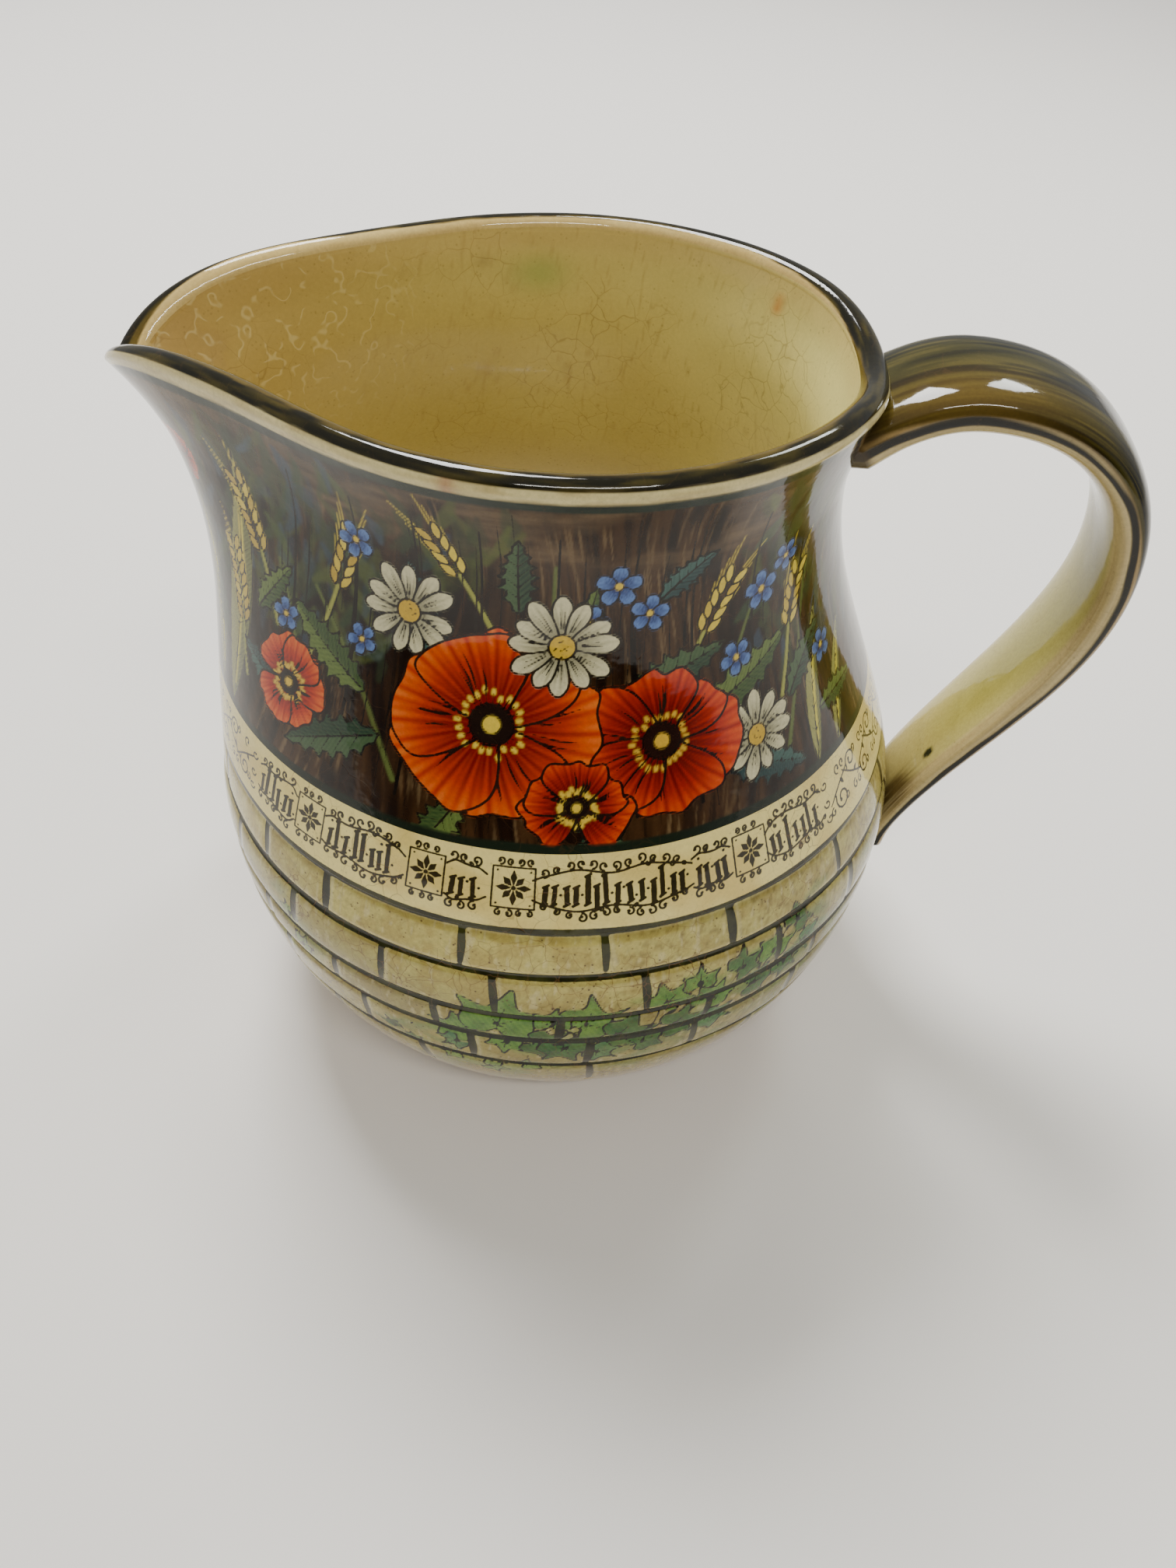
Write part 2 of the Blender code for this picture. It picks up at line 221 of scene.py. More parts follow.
def rim_dip(angle, height):
    """How far a point lies under its nominal height, because the rim falls at spout and handle."""
    share = np.maximum(height - BELLY_HEIGHT, 0.0) / (RIM_HEIGHT - BELLY_HEIGHT)
    at_lip = LIP_DROP * np.exp(-((np.abs(wrap(angle - SPOUT)) / LIP_DROP_ANGLE) ** LIP_DROP_SHARPNESS))
    at_handle = HANDLE_SIDE_DROP * hump(wrap(angle), HANDLE_SIDE_DROP_ANGLE)
    return (at_lip + at_handle) * share**RIM_DIP_GROWTH


def hand_wobble(angle, height):
    """The slight unevenness of a hand-finished wall, in metres."""
    high = height * 60.0
    slow = np.sin(3 * angle + 1.3 + high) + 0.7 * np.sin(5 * angle - 0.8 * high + 0.4)
    quick = 0.35 * np.sin(11 * angle + 1.9 * high) + 0.3 * np.sin(17 * angle - 2.6 * high + 2.0)
    return WOBBLE * (slow + quick)


def body_point(angle, radius, height):
    """A point of the body in the part's frame."""
    dipped = height - rim_dip(angle, height)
    return np.stack([radius * np.cos(angle) + AXIS_X, radius * np.sin(angle), dipped], -1)


def outer_point(angle, height):
    return body_point(angle, outer_radius(angle, height) + hand_wobble(angle, height), height)


def inner_point(angle, height):
    return body_point(angle, inner_radius(angle, height) + hand_wobble(angle, height), height)


def lip_point(angle, turn):
    """A point of the rounded lip, which turns from the inside over the top to the outside."""
    inside = inner_radius(angle, np.full_like(angle, LIP_CENTRE_HEIGHT))
    outside = outer_radius(angle, np.full_like(angle, LIP_CENTRE_HEIGHT))
    wobble = hand_wobble(angle, LIP_CENTRE_HEIGHT)
    radius = (inside + outside) / 2 + wobble - (outside - inside) / 2 * np.cos(turn)
    return body_point(angle, radius, LIP_CENTRE_HEIGHT + HALF_LIP * np.sin(turn))


def floor_point(angle, lift):
    """A point of the rounded corner between the inside wall and the floor."""
    inset = FLOOR_CORNER - np.sqrt(FLOOR_CORNER**2 - (FLOOR_CORNER - lift) ** 2)
    height = np.full_like(angle, FLOOR_HEIGHT) + lift
    return body_point(angle, inner_radius(angle, height) - inset + hand_wobble(angle, height), height)


def shade(red, green, blue):
    """A colour given as screen values from 0 to 255, as the renderer counts it."""
    screen = np.array([red, green, blue]) / 255.0
    return np.where(screen <= 0.04045, screen / 12.92, ((screen + 0.055) / 1.055) ** 2.4)


def columns(count, crowding=0.45):
    """Angles of the vertical divisions, closer together at the front."""
    turn = -math.pi + 2 * math.pi * np.arange(count) / count
    return FRONT + turn - crowding * np.sin(turn)


def value_noise(angle, along, cells_around, cell, seed, octaves):
    """Smooth noise from 0 to 1 over angle and distance along, the same on both sides of the seam."""
    random = np.random.default_rng(seed)
    total, weight, weights = 0.0, 1.0, 0.0
    for octave in range(octaves):
        count = int(cells_around * 2**octave)
        upward = (along - along.min()) / cell * 2**octave
        table = random.random((int(upward.max()) + 2, count))
        across = (angle / (2 * math.pi) % 1.0) * count
        column, row = np.floor(across).astype(int), np.floor(upward).astype(int)
        across, upward = blend(across - column), blend(upward - row)
        left, right = column % count, (column + 1) % count
        lower = table[row, left] * (1 - across) + table[row, right] * across
        upper = table[row + 1, left] * (1 - across) + table[row + 1, right] * across
        total = total + weight * (lower * (1 - upward) + upper * upward)
        weights += weight
        weight /= 2
    return total / weights


def mixed(below, above, share):
    """Colours between two by the share."""
    return below + (above - below) * np.asarray(share)[..., None]


def curve_through(before, here, after, later, steps):
    """Points of a smooth curve, from each point here to the one after, by the points on either side."""
    shares = (np.arange(steps) / steps)[:, None, None]
    curve = 0.5 * (
        2 * here + (after - before) * shares
        + (2 * before - 5 * here + 4 * after - later) * shares**2
        + (3 * here - before - 3 * after + later) * shares**3
    )
    return curve.transpose(1, 0, 2).reshape(-1, here.shape[1])


def smooth_loop(corners, steps=5):
    """A closed curve through the corners."""
    corners = np.asarray(corners, float)
    before, after, later = (np.roll(corners, shift, 0) for shift in (1, -1, -2))
    return curve_through(before, corners, after, later, steps)


def smooth_line(points, steps=6):
    """An open curve through the points; extra values in a row, such as a width, are carried along."""
    points = np.asarray(points, float)
    ends = np.vstack([2 * points[:1] - points[1:2], points, 2 * points[-1:] - points[-2:-1]])
    return np.vstack([curve_through(ends[:-3], ends[1:-2], ends[2:-1], ends[3:], steps), points[-1:]])


def segment_distance(x, y, start, side):
    """How far points are from straight segments, the nearest share of each, and offsets from its start."""
    px, py = x[..., None] - start[:, 0], y[..., None] - start[:, 1]
    length = (side[:, :2] ** 2).sum(1).clip(1e-12)
    share = np.clip((px * side[:, 0] + py * side[:, 1]) / length, 0.0, 1.0)
    return np.hypot(px - share * side[:, 0], py - share * side[:, 1]), share, px, py


def outline_distance(x, y, outline):
    """Distance to a closed outline, negative inside it."""
    start, end = outline, np.roll(outline, -1, 0)
    side = end - start
    away, _, px, py = segment_distance(x, y, start, side)
    away = away.min(-1)
    crosses = (start[:, 1] > y[..., None]) != (end[:, 1] > y[..., None])
    reach = side[:, 0] * py / np.where(side[:, 1] == 0, 1e-12, side[:, 1])
    inside = (crosses & (px < reach)).sum(-1) % 2 == 1
    return np.where(inside, -away, away)


def circle(count):
    """Points of a circle with a radius of 1."""
    turn = np.linspace(0, 2 * math.pi, count, endpoint=False)
    return np.stack([np.sin(turn), np.cos(turn)], -1)


def rotated(points, degrees):
    """Points turned clockwise by the degrees, so that what pointed up points that way."""
    angle = math.radians(degrees)
    points = np.array(points, float)
    x, y = points[:, 0].copy(), points[:, 1].copy()
    points[:, 0] = x * math.cos(angle) + y * math.sin(angle)
    points[:, 1] = -x * math.sin(angle) + y * math.cos(angle)
    return points


def ring_normals(points):
    """Unit normals of closed rings of points, pointing out of the earthenware."""
    along = np.roll(points, -1, 1) - np.roll(points, 1, 1)
    normal = np.cross(along, np.gradient(points, axis=0))
    return normal / np.linalg.norm(normal, axis=-1, keepdims=True)


class Grid:
    """Rings of points round the body, from the first ring to the last, with room for painting."""

    def __init__(self, angles, rings):
        self.angles = angles
        self.levels = np.array([level for _, level in rings])
        self.outside = np.array([kind == "outer" for kind, _ in rings])
        makers = {
            "outer": outer_point, "inner": inner_point, "lip": lip_point, "floor": floor_point,
            "under": lambda angle, radius: body_point(angle, radius, np.zeros_like(angle)),
            "recess": lambda angle, radius: body_point(angle, radius, np.full_like(angle, RECESS_DEPTH)),
        }
        self.points = np.stack(
            [makers[kind](angles, np.full_like(angles, level)) for kind, level in rings]
        )
        front = self.points[:, np.argmin(np.abs(wrap(angles - FRONT)))]
        step = np.linalg.norm(np.diff(front, axis=0), axis=1)
        self.arc = 1000.0 * np.concatenate([[0.0], np.cumsum(step)])
        self.angle_grid, self.arc_grid = np.meshgrid(angles, self.arc)
        self.level_grid = np.repeat(self.levels[:, None], len(angles), 1)
        self.paint = np.zeros(self.points.shape)
        self.lines = {name: np.full(self.angle_grid.shape, CLEAR) for name in ("ink", "olive")}

    def arc_at(self, height):
        """Distance along the profile, in mm, of a height on the outside."""
        return np.interp(height, self.levels[self.outside], self.arc[self.outside])

    def around(self, spot, reach):
        """The grid points within reach, in mm, of a spot, and their places to its right and above it."""
        angle, height = math.radians(spot[0]), spot[1] / 1000
        radius = 1000 * float(outer_radius(angle, height))
        centre = self.arc_at(height)
        rows = np.flatnonzero((np.abs(self.arc - centre) <= reach) & self.outside)
        places = wrap(self.angles - angle) * radius
        picked = np.flatnonzero(np.abs(places) <= reach)
        x, y = np.meshgrid(places[picked], self.arc[rows] - centre)
        return np.ix_(rows, picked), x, y

    def fill(self, spot, outline, colour, line, soft=0.35, opacity=1.0):
        """Paint a closed outline, given in mm round a spot, and draw a thin line along it.

        The colour is one colour or a function of the places that gives theirs.
        """
        pick, x, y = self.around(spot, np.abs(outline).max() + 1.0)
        away = outline_distance(x, y, outline)
        colours = colour(x, y) if callable(colour) else colour
        self.paint[pick] = mixed(self.paint[pick], colours, opacity * blend(0.5 - away / soft))
        ink = self.lines["ink"]
        ink[pick] = np.minimum(np.maximum(ink[pick], -away), np.abs(away) - line)

    def stroke(self, layer, spot, path):
        """Draw a line; each row of the path is a place in mm round the spot and the line's half width."""
        pick, away = self.path_distance(spot, path)
        self.lines[layer][pick] = np.minimum(self.lines[layer][pick], away)

    def ink(self, spot, path):
        self.stroke("ink", spot, path)

    def dot(self, spot, size, x=0.0, y=0.0, length=0.05):
        """A dot of ink at a place in mm round the spot, a little longer than high."""
        self.ink(spot, [(x, y, size), (x + length, y, size)])

    def brush(self, spot, path, colour, soft, opacity=1.0):
        """Paint a soft stroke of colour along a path like a line's."""
        pick, away = self.path_distance(spot, path)
        self.paint[pick] = mixed(self.paint[pick], colour, opacity * blend(0.5 - away / soft))

    def path_distance(self, spot, path):
        """The grid points round a path, and how far each is from the stroke's edge."""
        path = np.asarray(path, float)
        pick, x, y = self.around(spot, np.abs(path).max() + 1.2)
        start, side = path[:-1], np.diff(path, axis=0)
        away, share, _, _ = segment_distance(x, y, start, side)
        return pick, (away - (start[:, 2] + share * side[:, 2])).min(-1)

    def wash(self, colour, share):
        """Mix a colour into the paint everywhere by the share."""
        self.paint = mixed(self.paint, colour, share)

    def clear_lines(self, covered):
        """Take away the drawn lines where a zone is covered."""
        for field in self.lines.values():
            field[covered] = CLEAR

    def sink(self, depth):
        """Press the grid in by these depths, towards the axis."""
        middle = np.array([AXIS_X, 0.0, 0.0])
        inward = middle - self.points
        inward[..., 2] = 0.0
        inward /= np.linalg.norm(inward, axis=-1, keepdims=True).clip(1e-9)
        self.points += inward * depth[..., None]

    def painted(self):
        """What the material reads: the colours, and how far each point is from the nearest drawn line."""
        return {"paint": self.paint, **self.lines}


def placed(name, data):
    """A new object in the scene."""
    thing = bpy.data.objects.new(name, data)
    bpy.context.scene.collection.objects.link(thing)
    return thing


def grid_mesh(name, points, attributes, material, centre_first=None, centre_last=None, normals=None):
    """A piece made of closed rings of points, with smooth normals and painted attributes.

    A centre closes the first or the last ring with a fan of triangles. Normals are only given for a piece
    that is part of a longer grid.
    """
    if normals is None:
        normals = ring_normals(points)
    rings, count = points.shape[:2]
    corner = np.arange(rings * count).reshape(rings, count)
    after = np.roll(corner, -1, 1)
    quads = np.stack([corner[:-1], after[:-1], after[1:], corner[1:]], -1).reshape(-1, 4)
    loops = [quads.ravel()]
    sizes = [np.full(len(quads), 4)]
    flat_points, flat_normals = points.reshape(-1, 3), normals.reshape(-1, 3)
    flat = {key: value.reshape(rings * count, -1) for key, value in attributes.items()}
    for centre, ring, turned in ((centre_first, 0, True), (centre_last, rings - 1, False)):
        if centre is None:
            continue
        middle = np.full(count, len(flat_points))
        fan = [after[ring], corner[ring], middle] if turned else [corner[ring], after[ring], middle]
        loops.append(np.stack(fan, -1).ravel())
        sizes.append(np.full(count, 3))
        flat_points = np.vstack([flat_points, centre])
        flat_normals = np.vstack([flat_normals, [0.0, 0.0, -1.0 if turned else 1.0]])
        flat = {key: np.vstack([value, value[corner[ring]].mean(0)]) for key, value in flat.items()}
    loops, sizes = np.concatenate(loops), np.concatenate(sizes)
    mesh = bpy.data.meshes.new(name)
    mesh.vertices.add(len(flat_points))
    mesh.vertices.foreach_set("co", flat_points.ravel().astype(np.float32))
    mesh.loops.add(len(loops))
    mesh.loops.foreach_set("vertex_index", loops.astype(np.int32))
    mesh.polygons.add(len(sizes))
    mesh.polygons.foreach_set("loop_start", (np.cumsum(sizes) - sizes).astype(np.int32))
    mesh.update(calc_edges=True)
    mesh.shade_smooth()
    mesh.normals_split_custom_set_from_vertices(flat_normals.tolist())
    for key, value in flat.items():
        if value.shape[1] == 3:
            layer = mesh.attributes.new(key, "FLOAT_COLOR", "POINT")
            value = np.hstack([value, np.ones((len(value), 1))])
            layer.data.foreach_set("color", value.ravel().astype(np.float32))
        else:
            layer = mesh.attributes.new(key, "FLOAT", "POINT")
            layer.data.foreach_set("value", value.ravel().astype(np.float32))
    piece = placed(name, mesh)
    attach(piece, "root")
    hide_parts("pitcher")
    mesh.materials.append(material)


class Nodes:
    """Short forms for building a node tree whose textures share one set of coordinates."""

    def __init__(self, tree, space):
        self.tree = tree
        self.where = self.add("TexCoord").outputs[space]

    def add(self, kind, settings=None, **inputs):
        """A node with its settings and inputs; an input is a plain value or another node's output."""
        node = self.tree.nodes.new("ShaderNode" + kind)
        for key, value in (settings or {}).items():
            setattr(node, key, value)
        for key, value in inputs.items():
            self.plug(node, key.replace("_", " "), value)
        return node

    def plug(self, node, key, value):
        """Set or connect an input, which has a name or, as i0, i1 and so on, a number."""
        socket = node.inputs[int(key[1:])] if key[0] == "i" and key[1:].isdigit() else node.inputs[key]
        if isinstance(value, bpy.types.NodeSocket):
            self.tree.links.new(value, socket)
        else:
            socket.default_value = value

    def math(self, operation, *values):
        inputs = {f"i{index}": value for index, value in enumerate(values)}
        return self.add("Math", {"operation": operation}, **inputs).outputs[0]

    def times(self, first, second):
        return self.math("MULTIPLY", first, second)

    def mix(self, share, below, above, way="MIX"):
        """Colour mixed from below to above by the share."""
        node = self.add("Mix", {"data_type": "RGBA", "blend_type": way})
        self.plug(node, "i0", share)
        for index, value in ((6, below), (7, above)):
            if not isinstance(value, bpy.types.NodeSocket):
                value = (*value, 1.0)
            self.plug(node, f"i{index}", value)
        return node.outputs[2]

    def ramp(self, value, start, end, first=0.0, last=1.0):
        """A value that goes smoothly from the first at start to the last at end."""
        limits = {"From_Min": start, "From_Max": end, "To_Min": first, "To_Max": last}
        return self.add("MapRange", {"interpolation_type": "SMOOTHSTEP"}, Value=value, **limits).outputs[0]

    def attribute(self, name, output="Fac"):
        return self.add("Attribute", {"attribute_name": name}).outputs[output]

    def noise(self, scale, detail, rough=0.55):
        node = self.add("TexNoise", None, Vector=self.where, Scale=scale, Detail=detail, Roughness=rough)
        return node.outputs["Fac"]

    def patches(self, scale, detail, low, high):
        """A share that is 0 where the noise is low and 1 where it is high."""
        return self.ramp(self.noise(scale, detail), low, high)

    def cells(self, feature, where, scale):
        """Distance to the nearest dot or edge of a pattern of cells."""
        return self.add("TexVoronoi", {"feature": feature}, Vector=where, Scale=scale).outputs["Distance"]


def new_material(name):
    """A material with nodes, and its shader."""
    material = bpy.data.materials.new(name)
    material.use_nodes = True
    return material, material.node_tree.nodes["Principled BSDF"]


# Size of the glaze's crackle, in metres: the usual one, and the finer one of the bricks and the band
CRACKLE = 0.0045
FINE_CRACKLE = 0.0032


def glaze(name, speckle, crazing, grain, lines=(), crackle_size=CRACKLE, curls=False):
    """Glossy glaze over the paint and the drawn lines, with speckles, fine cracks and a slight ripple.

    Speckle, crazing and grain are shares, the crackle's cells are in metres, and the scales of the textures
    are the number of their cells to a metre.
    """
    material, shader = new_material(name)
    nodes = Nodes(material.node_tree, "Object")
    fine = nodes.ramp(nodes.noise(1500.0, 4.0, 0.7), 0.25, 0.8)
    lightness = nodes.math("MULTIPLY_ADD", fine, grain, 1.0 - grain / 2)
    colour = nodes.mix(1.0, nodes.attribute("paint", "Color"), lightness, "MULTIPLY")
    speck = nodes.ramp(nodes.cells("F1", nodes.where, 1100.0), 0.30, 0.12)
    speck = nodes.times(speck, nodes.times(nodes.patches(420.0, 2.0, 0.48, 0.62), speckle))
    colour = nodes.mix(speck, colour, shade(84, 64, 36))
    if curls:
        level = nodes.math("ABSOLUTE", nodes.math("MULTIPLY_ADD", nodes.noise(230.0, 1.0), 1.0, -0.5))
        broken = nodes.patches(380.0, 1.0, 0.42, 0.56)
        vein = nodes.times(nodes.ramp(level, 0.036, 0.004), nodes.times(broken, 0.36))
        colour = nodes.mix(nodes.times(vein, nodes.attribute("curls")), colour, shade(230, 212, 150))
    ragged = nodes.math("MULTIPLY_ADD", nodes.noise(1900.0, 2.0), LINE_RAGGEDNESS, -LINE_RAGGEDNESS / 2)
    for line in lines:
        strength, thin, thick = LINE_COLOURS[line]
        share = nodes.ramp(nodes.math("ADD", nodes.attribute(line), ragged), LINE_EDGE, -LINE_EDGE)
        tone = nodes.mix(nodes.patches(240.0, 3.0, 0.35, 0.7), shade(*thick), shade(*thin))
        colour = nodes.mix(nodes.times(share, strength), colour, tone)
    warp = nodes.add("TexNoise", None, Vector=nodes.where, Scale=260.0, Detail=2.0).outputs["Color"]
    warp_reach = (0.0022,) * 3
    bent = nodes.add("VectorMath", {"operation": "MULTIPLY_ADD"}, i0=warp, i1=warp_reach, i2=nodes.where)
    cracks = nodes.ramp(nodes.cells("DISTANCE_TO_EDGE", bent.outputs[0], 1.0 / crackle_size), 0.030, 0.0)
    crack_share = nodes.times(cracks, nodes.times(nodes.patches(55.0, 2.0, 0.38, 0.68), crazing))
    colour = nodes.mix(crack_share, colour, shade(104, 72, 40))
    rough = nodes.math("MULTIPLY_ADD", nodes.patches(300.0, 3.0, 0.3, 0.8), 0.06, 0.045)
    ripple = nodes.math("SUBTRACT", nodes.noise(130.0, 3.0), nodes.times(crack_share, 0.25))
    bump = nodes.add("Bump", None, Height=ripple, Strength=0.14, Distance=0.0008).outputs[0]
    inputs = {
        "Base Color": colour, "Roughness": rough, "Normal": bump, "IOR": 1.52, "Specular IOR Level": 0.32,
    }
    for key, value in inputs.items():
        nodes.plug(shader, key, value)
    return material


def paint_ground(grid):
    """Dark brown ground laid on with a coarse brush, greener and greyer in places."""
    angle, along = grid.angle_grid, grid.arc_grid
    swirl = angle + 0.03 * np.sin(along / 9.0 + 4 * angle)
    strokes = value_noise(swirl, along, 230, 16.0, 11, 2)
    hairs = value_noise(swirl, along, 560, 9.0, 12, 2)
    broad = value_noise(angle, along, 22, 16.0, 13, 3)
    level = value_noise(angle, along, 34, 6.0, 14, 3)
    sweeps = value_noise(angle, along, 34, 0.9, 15, 2)
    paint = mixed(shade(24, 11, 4), shade(64, 42, 21), rising(0.55 * strokes + 0.45 * broad, 0.34, 0.34))
    paint = mixed(paint, shade(118, 96, 64), 0.65 * rising(hairs, 0.60, 0.2) * rising(broad, 0.42, 0.22))
    paint = mixed(paint, shade(16, 9, 5), 0.6 * falling(hairs, 0.36, 0.16))
    high = rising(grid.level_grid, 0.128, 0.006) * rising(level, 0.35, 0.3)
    grid.paint[:] = mixed(paint, mixed(shade(58, 40, 24), shade(120, 98, 68), sweeps), 0.7 * high)


def draw_grain(grid, random):
    """Dark upright strokes in the ground, like the grain and the joints of boards."""
    for angle in np.arange(-180, 180, 1.5):
        spot = (angle + random.uniform(-0.7, 0.7), random.uniform(92, 128))
        length, width = random.uniform(5, 15), random.uniform(0.08, 0.20)
        hair = [(0, -length, 0.05), (random.uniform(-0.5, 0.5), 0, width), (0, length, 0.05)]
        grid.ink(spot, smooth_line(hair, 3))
    seam = smooth_line([(0, -24, 0.24), (0.2, -8, 0.30), (-0.2, 8, 0.24), (0, 24, 0.16)], 4)
    for angle in np.arange(-176, 180, 13.0):
        grid.ink((angle + random.uniform(-2.5, 2.5), 112), seam)


def scattered(zones, random):
    """Random spots in zones, each given by its left, right, low and high limits and its number of spots."""
    for left, right, low, high, count in zones:
        for _ in range(count):
            yield random.uniform(left, right), random.uniform(low, high)


def foliage_mist(grid, random):
    """Muted green and blue-grey dabs of distant foliage behind the flowers."""
    tones = [shade(66, 80, 36), shade(86, 96, 42), shade(46, 64, 38), shade(56, 76, 92), shade(60, 70, 40)]
    zones = (
        (-168, -116, 108, 139, 190), (-116, -92, 126, 138, 24), (-48, -8, 104, 138, 110),
        (20, 170, 96, 136, 150),
    )
    for spot in scattered(zones, random):
        lean, length = random.uniform(-50, 50), random.uniform(1.5, 4.5)
        path = rotated([(0, -length, 0.5), (0.5, 0, random.uniform(0.7, 1.6)), (0, length, 0.4)], lean)
        tone = tones[random.integers(len(tones))] * random.uniform(0.6, 1.05)
        grid.brush(spot, path, tone, soft=0.9, opacity=random.uniform(0.3, 0.75))


def leaf(grid, spot, length, width, bearing, colours, bend=0.0, teeth=0):
    """A pointed leaf growing from the spot, with a midrib, side veins and a darker half."""
    share = np.linspace(0, 1, 22)
    middle = np.stack([bend * share**2, length * share], -1)
    saw = 1.0 + (0.22 * np.sign(np.sin(2 * math.pi * teeth * share)) if teeth else 0.0)
    half = width / 2 * np.sin(math.pi * share**0.8) ** 0.9 * saw + 0.04
    left, right = middle.copy(), middle.copy()
    left[:, 0] -= half
    right[:, 0] += half
    outline = rotated(np.vstack([left, right[::-1]]), bearing)
    pale, deep = colours

    def tint(x, y):
        turned = rotated(np.stack([x.ravel(), y.ravel()], -1), -bearing)
        off = (turned[:, 0] - bend * (turned[:, 1] / length).clip(0, 1) ** 2).reshape(x.shape)
        up = turned[:, 1].reshape(x.shape)
        vein = 0.5 + 0.5 * np.sin(6.0 * (up - np.abs(off)))
        return mixed(pale, deep, np.clip(0.35 + 0.35 * np.tanh(off / 0.4) + 0.35 * vein - 0.1, 0, 1))

    grid.fill(spot, outline, tint, line=0.17)
    rib = np.column_stack([middle[1:-1], np.linspace(0.20, 0.10, 20)])
    grid.ink(spot, rotated(rib, bearing))
    for index in range(4, 19, 3):
        for side in (-1, 1):
            base, out = middle[index], half[index] * 0.75
            vein = [(base[0], base[1], 0.12), (base[0] + side * out, base[1] + out * 0.9, 0.05)]
            grid.ink(spot, rotated(vein, bearing))


def petal_outline(length, width, random):
    """A broad petal that grows up from the origin, with a wavy end."""
    shape = [
        (0.0, 0.0), (-0.33, 0.30), (-0.50, 0.64), (-0.40, 0.90), (-0.18, 0.93), (0.02, 1.0), (0.20, 0.94),
        (0.41, 0.91), (0.50, 0.62), (0.31, 0.28),
    ]
    corners = np.array(shape) * (width, length)
    corners[2:9] += random.uniform(-0.05, 0.05, (7, 2)) * length
    return smooth_loop(corners)


def petal_tint(length, deep, bright, glow, phase):
    """Colours of a petal: deep at its foot, streaked outwards, glowing at the edge."""

    def tint(x, y):
        reach, bearing = np.hypot(x, y) / length, np.arctan2(x, y)
        broad = np.sin(bearing * 31 + phase)
        narrow = np.sin(bearing * 53 + 2.1 * phase + 4 * reach)
        streak = 0.5 + 0.25 * broad + 0.25 * narrow
        tone = mixed(deep, bright, blend(1.25 * reach - 0.25 + 0.5 * (streak - 0.5)))
        return mixed(tone, glow, 0.85 * rising(reach, 0.62, 0.4) * streak)

    return tint


def bloom(grid, spot, size, bearings, tints, random, squash=1.0, folds=4):
    """A large flower with broad overlapping petals; bearings are in painting order."""
    for bearing in bearings:
        length = size * random.uniform(0.9, 1.05)
        outline = rotated(petal_outline(length, 1.15 * length, random), bearing)
        outline[:, 1] *= squash
        grid.fill(spot, outline, petal_tint(length, *tints, random.uniform(0, 6)), line=0.21)
        for _ in range(folds):
            lean = random.uniform(-24, 24)
            start, end = random.uniform(0.25, 0.4), random.uniform(0.6, 0.85)
            middle = (start + end) / 2
            path = [(0, start * length, 0.08), (0.4, middle * length, 0.19), (0.2, end * length, 0.06)]
            path = rotated(path, bearing + lean)
            path[:, 1] *= squash
            grid.ink(spot, smooth_line(path, 4))


def flower_heart(grid, spot, size, dark, pollen, random):
    """The dark middle of a bloom with its ring of stamens."""
    disc = circle(18) * size
    grid.fill(spot, disc * 0.26, dark, line=0.16)
    for bearing in np.arange(0, 360, 15):
        reach = size * random.uniform(0.30, 0.42)
        grid.ink(spot, rotated([(0, size * 0.22, 0.10), (0, reach, 0.09)], bearing))
        tip = rotated([(0, reach, 0.42), (0, reach + 0.4, 0.36)], bearing)
        grid.brush(spot, tip, pollen, soft=0.4)
    grid.fill(spot, disc * 0.11, pollen, line=0.10)


def small_petal(grid, spot, shape, length, bearing, tints, phase, line):
    """A petal of a small flower, its shape given for a length of 1."""
    pale, deep = tints
    outline = rotated(smooth_loop(np.array(shape) * length, 4), bearing)
    grid.fill(spot, outline, petal_tint(length, deep, pale, pale, phase), line)


def daisy(grid, spot, size, petals, tints, heart, random):
    """A flower with narrow petals, each shaded with a few fine strokes."""
    shape = [(0, 0.1), (-0.15, 0.45), (-0.19, 0.78), (-0.08, 0.99), (0.06, 1.0), (0.18, 0.80), (0.14, 0.42)]
    for index in range(petals):
        bearing = 360 * index / petals + random.uniform(-5, 5)
        length = size * random.uniform(0.9, 1.08)
        small_petal(grid, spot, shape, length, bearing, tints, random.uniform(0, 6), 0.18)
        for lean in (-4, 3):
            path = [(0, 0.35 * length, 0.13), (0, random.uniform(0.6, 0.8) * length, 0.06)]
            grid.ink(spot, rotated(path, bearing + lean))
    grid.fill(spot, circle(16) * size * 0.26, heart, line=0.18)
    for _ in range(14):
        x, y = random.normal(0, size * 0.09, 2)
        grid.dot(spot, 0.12, x, y, 0.1)


def little_flower(grid, spot, size, tints, random):
    """A small flower of five round petals."""
    shape = [(0, 0.05), (-0.34, 0.45), (-0.30, 0.92), (0.0, 1.04), (0.30, 0.9), (0.34, 0.45)]
    start = random.uniform(0, 72)
    for index in range(5):
        small_petal(grid, spot, shape, size, start + 72 * index, tints, index, 0.15)
    grid.fill(spot, circle(10) * size * 0.2, shade(214, 184, 60), line=0.08)


